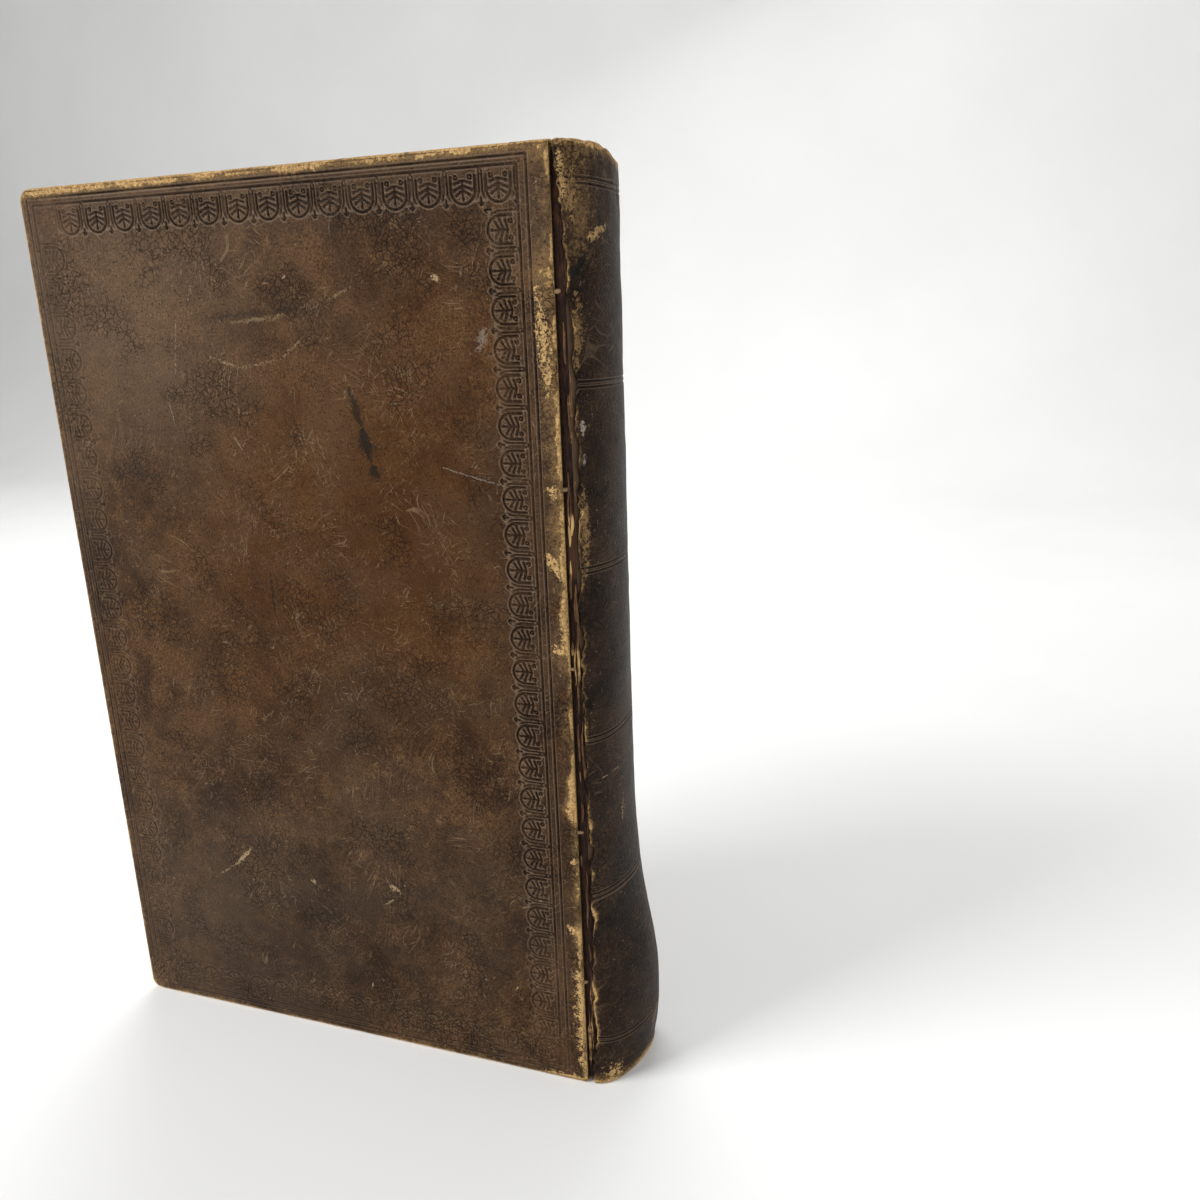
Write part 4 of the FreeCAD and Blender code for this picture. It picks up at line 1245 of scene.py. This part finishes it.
spineMarks = [   # from degrees, z to degrees, z, and the rest as above
    (-76, 244, -74, 232, 1.5, 0.75, brown["tan"], 0.65),
    (-60, 240, -64, 228, 1.6, 0.7, brown["halo"], 0.8),
    (-46, 224, -16, 227, 1.5, 0.75, brown["tan"], 0.5),
    (-68, 215, -45, 221, 1.0, 0.3, stain, 0.9),
    (-60, 212, -62, 196, 2.2, 0.8, brown["halo"], 0.7),
    (-58, 184, -57, 180, 1.0, 0.85, (0.42, 0.36, 0.3, 1.0), 0.6),
    (-56, 176, -60, 173, 0.8, 0.85, (0.42, 0.36, 0.3, 1.0), 0.5),
    (-58, 168, -60, 146, 1.5, 0.85, brown["halo"], 0.8),
    (-50, 92.0, -20, 92.6, 0.28, 0.4, pale, 0.6),
    (-14, 84, -16, 76, 0.8, 0.75, brown["tan"], 0.55),
    (-40, 0.6, 10, 0.6, 1.3, 0.4, brown["tan"], 0.9),
    (-66, 5.0, -50, 2.0, 3.0, 0.7, brown["tan"], 0.85),
    (0, 9.0, 14, 14.0, 1.4, 0.85, brown["halo"], 0.8),
]
spineCalf = leatherFinish("spineCalf", brown["spineDeep"], brown["spineMiddle"], brown["spineWarm"], -0.06, 0.3,
                          placed(onSpine, spineMarks), 0.4, 0.07)


def tornFinish(name, dark, rust, bare, bareShare):
    material, tree, shader, place = newMaterial(name, 0.8, 0.2)
    fibre = noiseValue(tree, stretched(tree, place, (2.6, 2.6, 0.35)), 1.0, 6.0, 0.75, 0.6)
    patch = noiseValue(tree, place, 0.09, 4.0, 0.65)
    colour = mixColour(tree, remap(tree, fibre, 0.4, 0.66), dark, rust)
    colour = mixColour(tree, calc(tree, "MULTIPLY", remap(tree, patch, 0.5, 0.62), bareShare), colour, bare)
    tree.links.new(colour, shader.inputs["Base Color"])
    addBump(tree, shader, fibre, 0.3)
    return material


dress(crackLayer, tornFinish("tornLayer", (0.007, 0.004, 0.003, 1.0), (0.05, 0.018, 0.009, 1.0),
                             (0.11, 0.045, 0.02, 1.0), 0.5))
dress(shreds, tornFinish("tornShred", (0.05, 0.022, 0.011, 1.0), (0.16, 0.085, 0.035, 1.0),
                         (0.46, 0.29, 0.12, 1.0), 0.9))
dress(rearLeather, rearCalf)
dress(frontLeather, frontCalf)
dress(spineSkin, spineCalf)


def paperFinish(name, paper, browned, roughness, rim=0.0, leafTone=False):
    material, tree, shader, place = newMaterial(name, roughness, 0.2)
    level = 0.0
    if rim:  # offset from the leather round the edges of the sheet
        axes = put(tree, "ShaderNodeSeparateXYZ", {0: place}).outputs
        sheetLow = textLeaves["square"]
        level = calc(tree, "MAXIMUM", remap(tree, axes["Z"], sheetLow, sheetLow + 14, rim, 0.0),
                     remap(tree, axes["Z"], bookHeight - sheetLow, bookHeight - sheetLow - 14, rim, 0.0))
        foreEnd = jointX - boardWidth + sheetLow
        level = calc(tree, "MAXIMUM", level, remap(tree, axes["X"], foreEnd, foreEnd + 14, rim, 0.0))
        level = calc(tree, "MAXIMUM", level, remap(tree, axes["X"], jointX, jointX - 9, rim * 0.7, 0.0))
        level = calc(tree, "MULTIPLY", level, remap(tree, noiseValue(tree, place, 0.07, 5.0, 0.65), 0.32, 0.66,
                                                    0.35, 1.3))
    sheet = useGroup(tree, "oldPaper", {"Vector": place, "Paper": paper, "Browned": browned, "Rim": level})
    colour = sheet["Colour"]
    if leafTone:
        tone = put(tree, "ShaderNodeHueSaturation", {"Color": colour, "Value": remap(
            tree, attributeValue(tree, "leaf"), 0.0, 1.0, 0.62, 1.15)})
        colour = tone.outputs["Color"]
    tree.links.new(colour, shader.inputs["Base Color"])
    addBump(tree, shader, sheet["Height"], 0.05, 0.6)
    return material


papers = {  # colour, browned colour, roughness, browned rim, leaf tones
    "textPaper": ((0.50, 0.40, 0.26, 1.0), (0.27, 0.18, 0.095, 1.0), 0.85, 0.0, True),
    "endPaper": ((0.6, 0.5, 0.35, 1.0), (0.3, 0.2, 0.1, 1.0), 0.8, 0.75),
    "liningPaper": ((0.09, 0.055, 0.032, 1.0), (0.035, 0.02, 0.012, 1.0), 0.9),
    "boardPulp": ((0.24, 0.17, 0.1, 1.0), (0.13, 0.085, 0.05, 1.0), 0.92),
    "hempCord": ((0.3, 0.2, 0.11, 1.0), (0.12, 0.075, 0.04, 1.0), 0.9),
}
paper = {name: paperFinish(name, *values) for name, values in papers.items()}
for node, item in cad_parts.items():
    if "flyleaf" in node or "pastedown" in node or "infill" in node:
        dress(item, paper["endPaper"])
    elif node.endswith("_board"):
        dress(item, paper["boardPulp"])
    elif node in ("spine_lining", "spine_hollow"):
        dress(item, paper["liningPaper"])
    elif "cord" in node or "endband" in node:
        dress(item, paper["hempCord"])
    elif node == "text_block":
        dress(item, paper["textPaper"])
dress(leaves, paper["textPaper"])
for item in folds:
    dress(item, paper["endPaper"])
for item in hingeCords:
    dress(item, paper["hempCord"])
dress(frontJoint, frontCalf)


def threadFinish():
    material, tree, shader, place = newMaterial("endbandThread", 0.75, 0.25)
    twist = noiseValue(tree, stretched(tree, place, (5.0, 1.2, 5.0)), 1.0, 4.0, 0.7)
    colour = mixColour(tree, attributeValue(tree, "winding"), (0.34, 0.27, 0.17, 1.0), (0.06, 0.05, 0.055, 1.0))
    # darker in the valleys between the wraps: painted shade
    colour = mixColour(tree, remap(tree, attributeValue(tree, "crest"), 0.5, 0.0, 0.0, 0.8), colour,
                       (0.03, 0.02, 0.012, 1.0))
    colour = mixColour(tree, remap(tree, twist, 0.45, 0.7, 0.0, 0.5), colour, (0.16, 0.115, 0.07, 1.0))
    tree.links.new(colour, shader.inputs["Base Color"])
    addBump(tree, shader, twist, 0.08)
    return material


thread = threadFinish()
for item in (headBand, tailBand):
    dress(item, thread)
print("finishes made")


# Floor, lights and camera
studio = {
    "floor": (0.80, 0.80, 0.79, 1.0),
    "worldLevel": 0.42,
    "backdrop": 0.8,
    "halfWidth": 2.6,       # of the floor and the wall behind it
    "near": -2.0,
    "far": 0.9,
    "sweep": 0.5,
    "wallTop": 2.2,
    "aim": (0.0, 0.0, 0.12),
    "lights": [("windowKey", (-0.85, -0.75, 1.0), (0.6, 0.5), 17.5),    # name, place, size, power
               ("rightFill", (1.1, -0.6, 0.6), (0.8, 0.9), 6.0),
               ("backFill", (-0.3, 0.85, 1.1), (1.0, 0.8), 10.0)],
}


def makeFloor():
    far, sweep, wide = studio["far"], studio["sweep"], studio["halfWidth"]
    path = [(studio["near"], 0.0), (far, 0.0)]
    path += [(far + sweep * math.sin(a), sweep - sweep * math.cos(a)) for a in np.linspace(0.1, math.pi / 2, 12)]
    path.append((far + sweep, studio["wallTop"]))
    points = [(x / mm, y / mm, z / mm) for y, z in path for x in (-wide, wide)]
    faces = [[2 * k, 2 * k + 1, 2 * k + 3, 2 * k + 2] for k in range(len(path) - 1)]
    item = makeObject("paleFloor", points, faces)
    material, tree, shader, place = newMaterial("paleFloor", 0.95, 0.1)
    soft = noiseValue(tree, place, 0.004, 3.0)
    tone = put(tree, "ShaderNodeHueSaturation", {"Color": studio["floor"],
                                                 "Value": remap(tree, soft, 0.3, 0.7, 0.98, 1.02)})
    tree.links.new(tone.outputs["Color"], shader.inputs["Base Color"])
    dress(item, material)


def makeLight(name, place, size, power):
    lamp = bpy.data.lights.new(name, "AREA")
    lamp.shape = "RECTANGLE"
    lamp.size, lamp.size_y = size
    lamp.energy = power
    item = bpy.data.objects.new(name, lamp)
    bpy.context.scene.collection.objects.link(item)
    item.location = place
    item.rotation_euler = (Vector(studio["aim"]) - Vector(place)).to_track_quat("-Z", "Y").to_euler()


makeFloor()
world = bpy.data.worlds.new("softRoom")
bpy.context.scene.world = world
world.use_nodes = True
world.node_tree.nodes["Background"].inputs["Color"].default_value = (1.0, 1.0, 1.0, 1.0)
ray = put(world.node_tree, "ShaderNodeLightPath").outputs["Is Camera Ray"]   # the room looks pale behind the floor
world.node_tree.links.new(remap(world.node_tree, ray, 0.0, 1.0, studio["worldLevel"], studio["backdrop"]),
                          world.node_tree.nodes["Background"].inputs["Strength"])
for light in studio["lights"]:
    makeLight(*light)

photoView = {
    "lens": 30.67,
    "sensor": 36.0,
    "matrix": ((0.9440, -0.0566, 0.3251, 0.15752),
               (0.3284, 0.2600, -0.9080, -0.24150),
               (-0.0331, 0.9640, 0.2641, 0.20639),
               (0.0, 0.0, 0.0, 1.0)),
}
lens = bpy.data.cameras.new("photoCamera")
lens.lens = photoView["lens"]
lens.sensor_width = photoView["sensor"]
lens.clip_start = 0.01
camera = bpy.data.objects.new("photoCamera", lens)
bpy.context.scene.collection.objects.link(camera)
camera.matrix_world = Matrix(photoView["matrix"])
bpy.context.scene.camera = camera
bpy.context.scene.view_settings.view_transform = "Standard"
print("floor, lights and camera made")
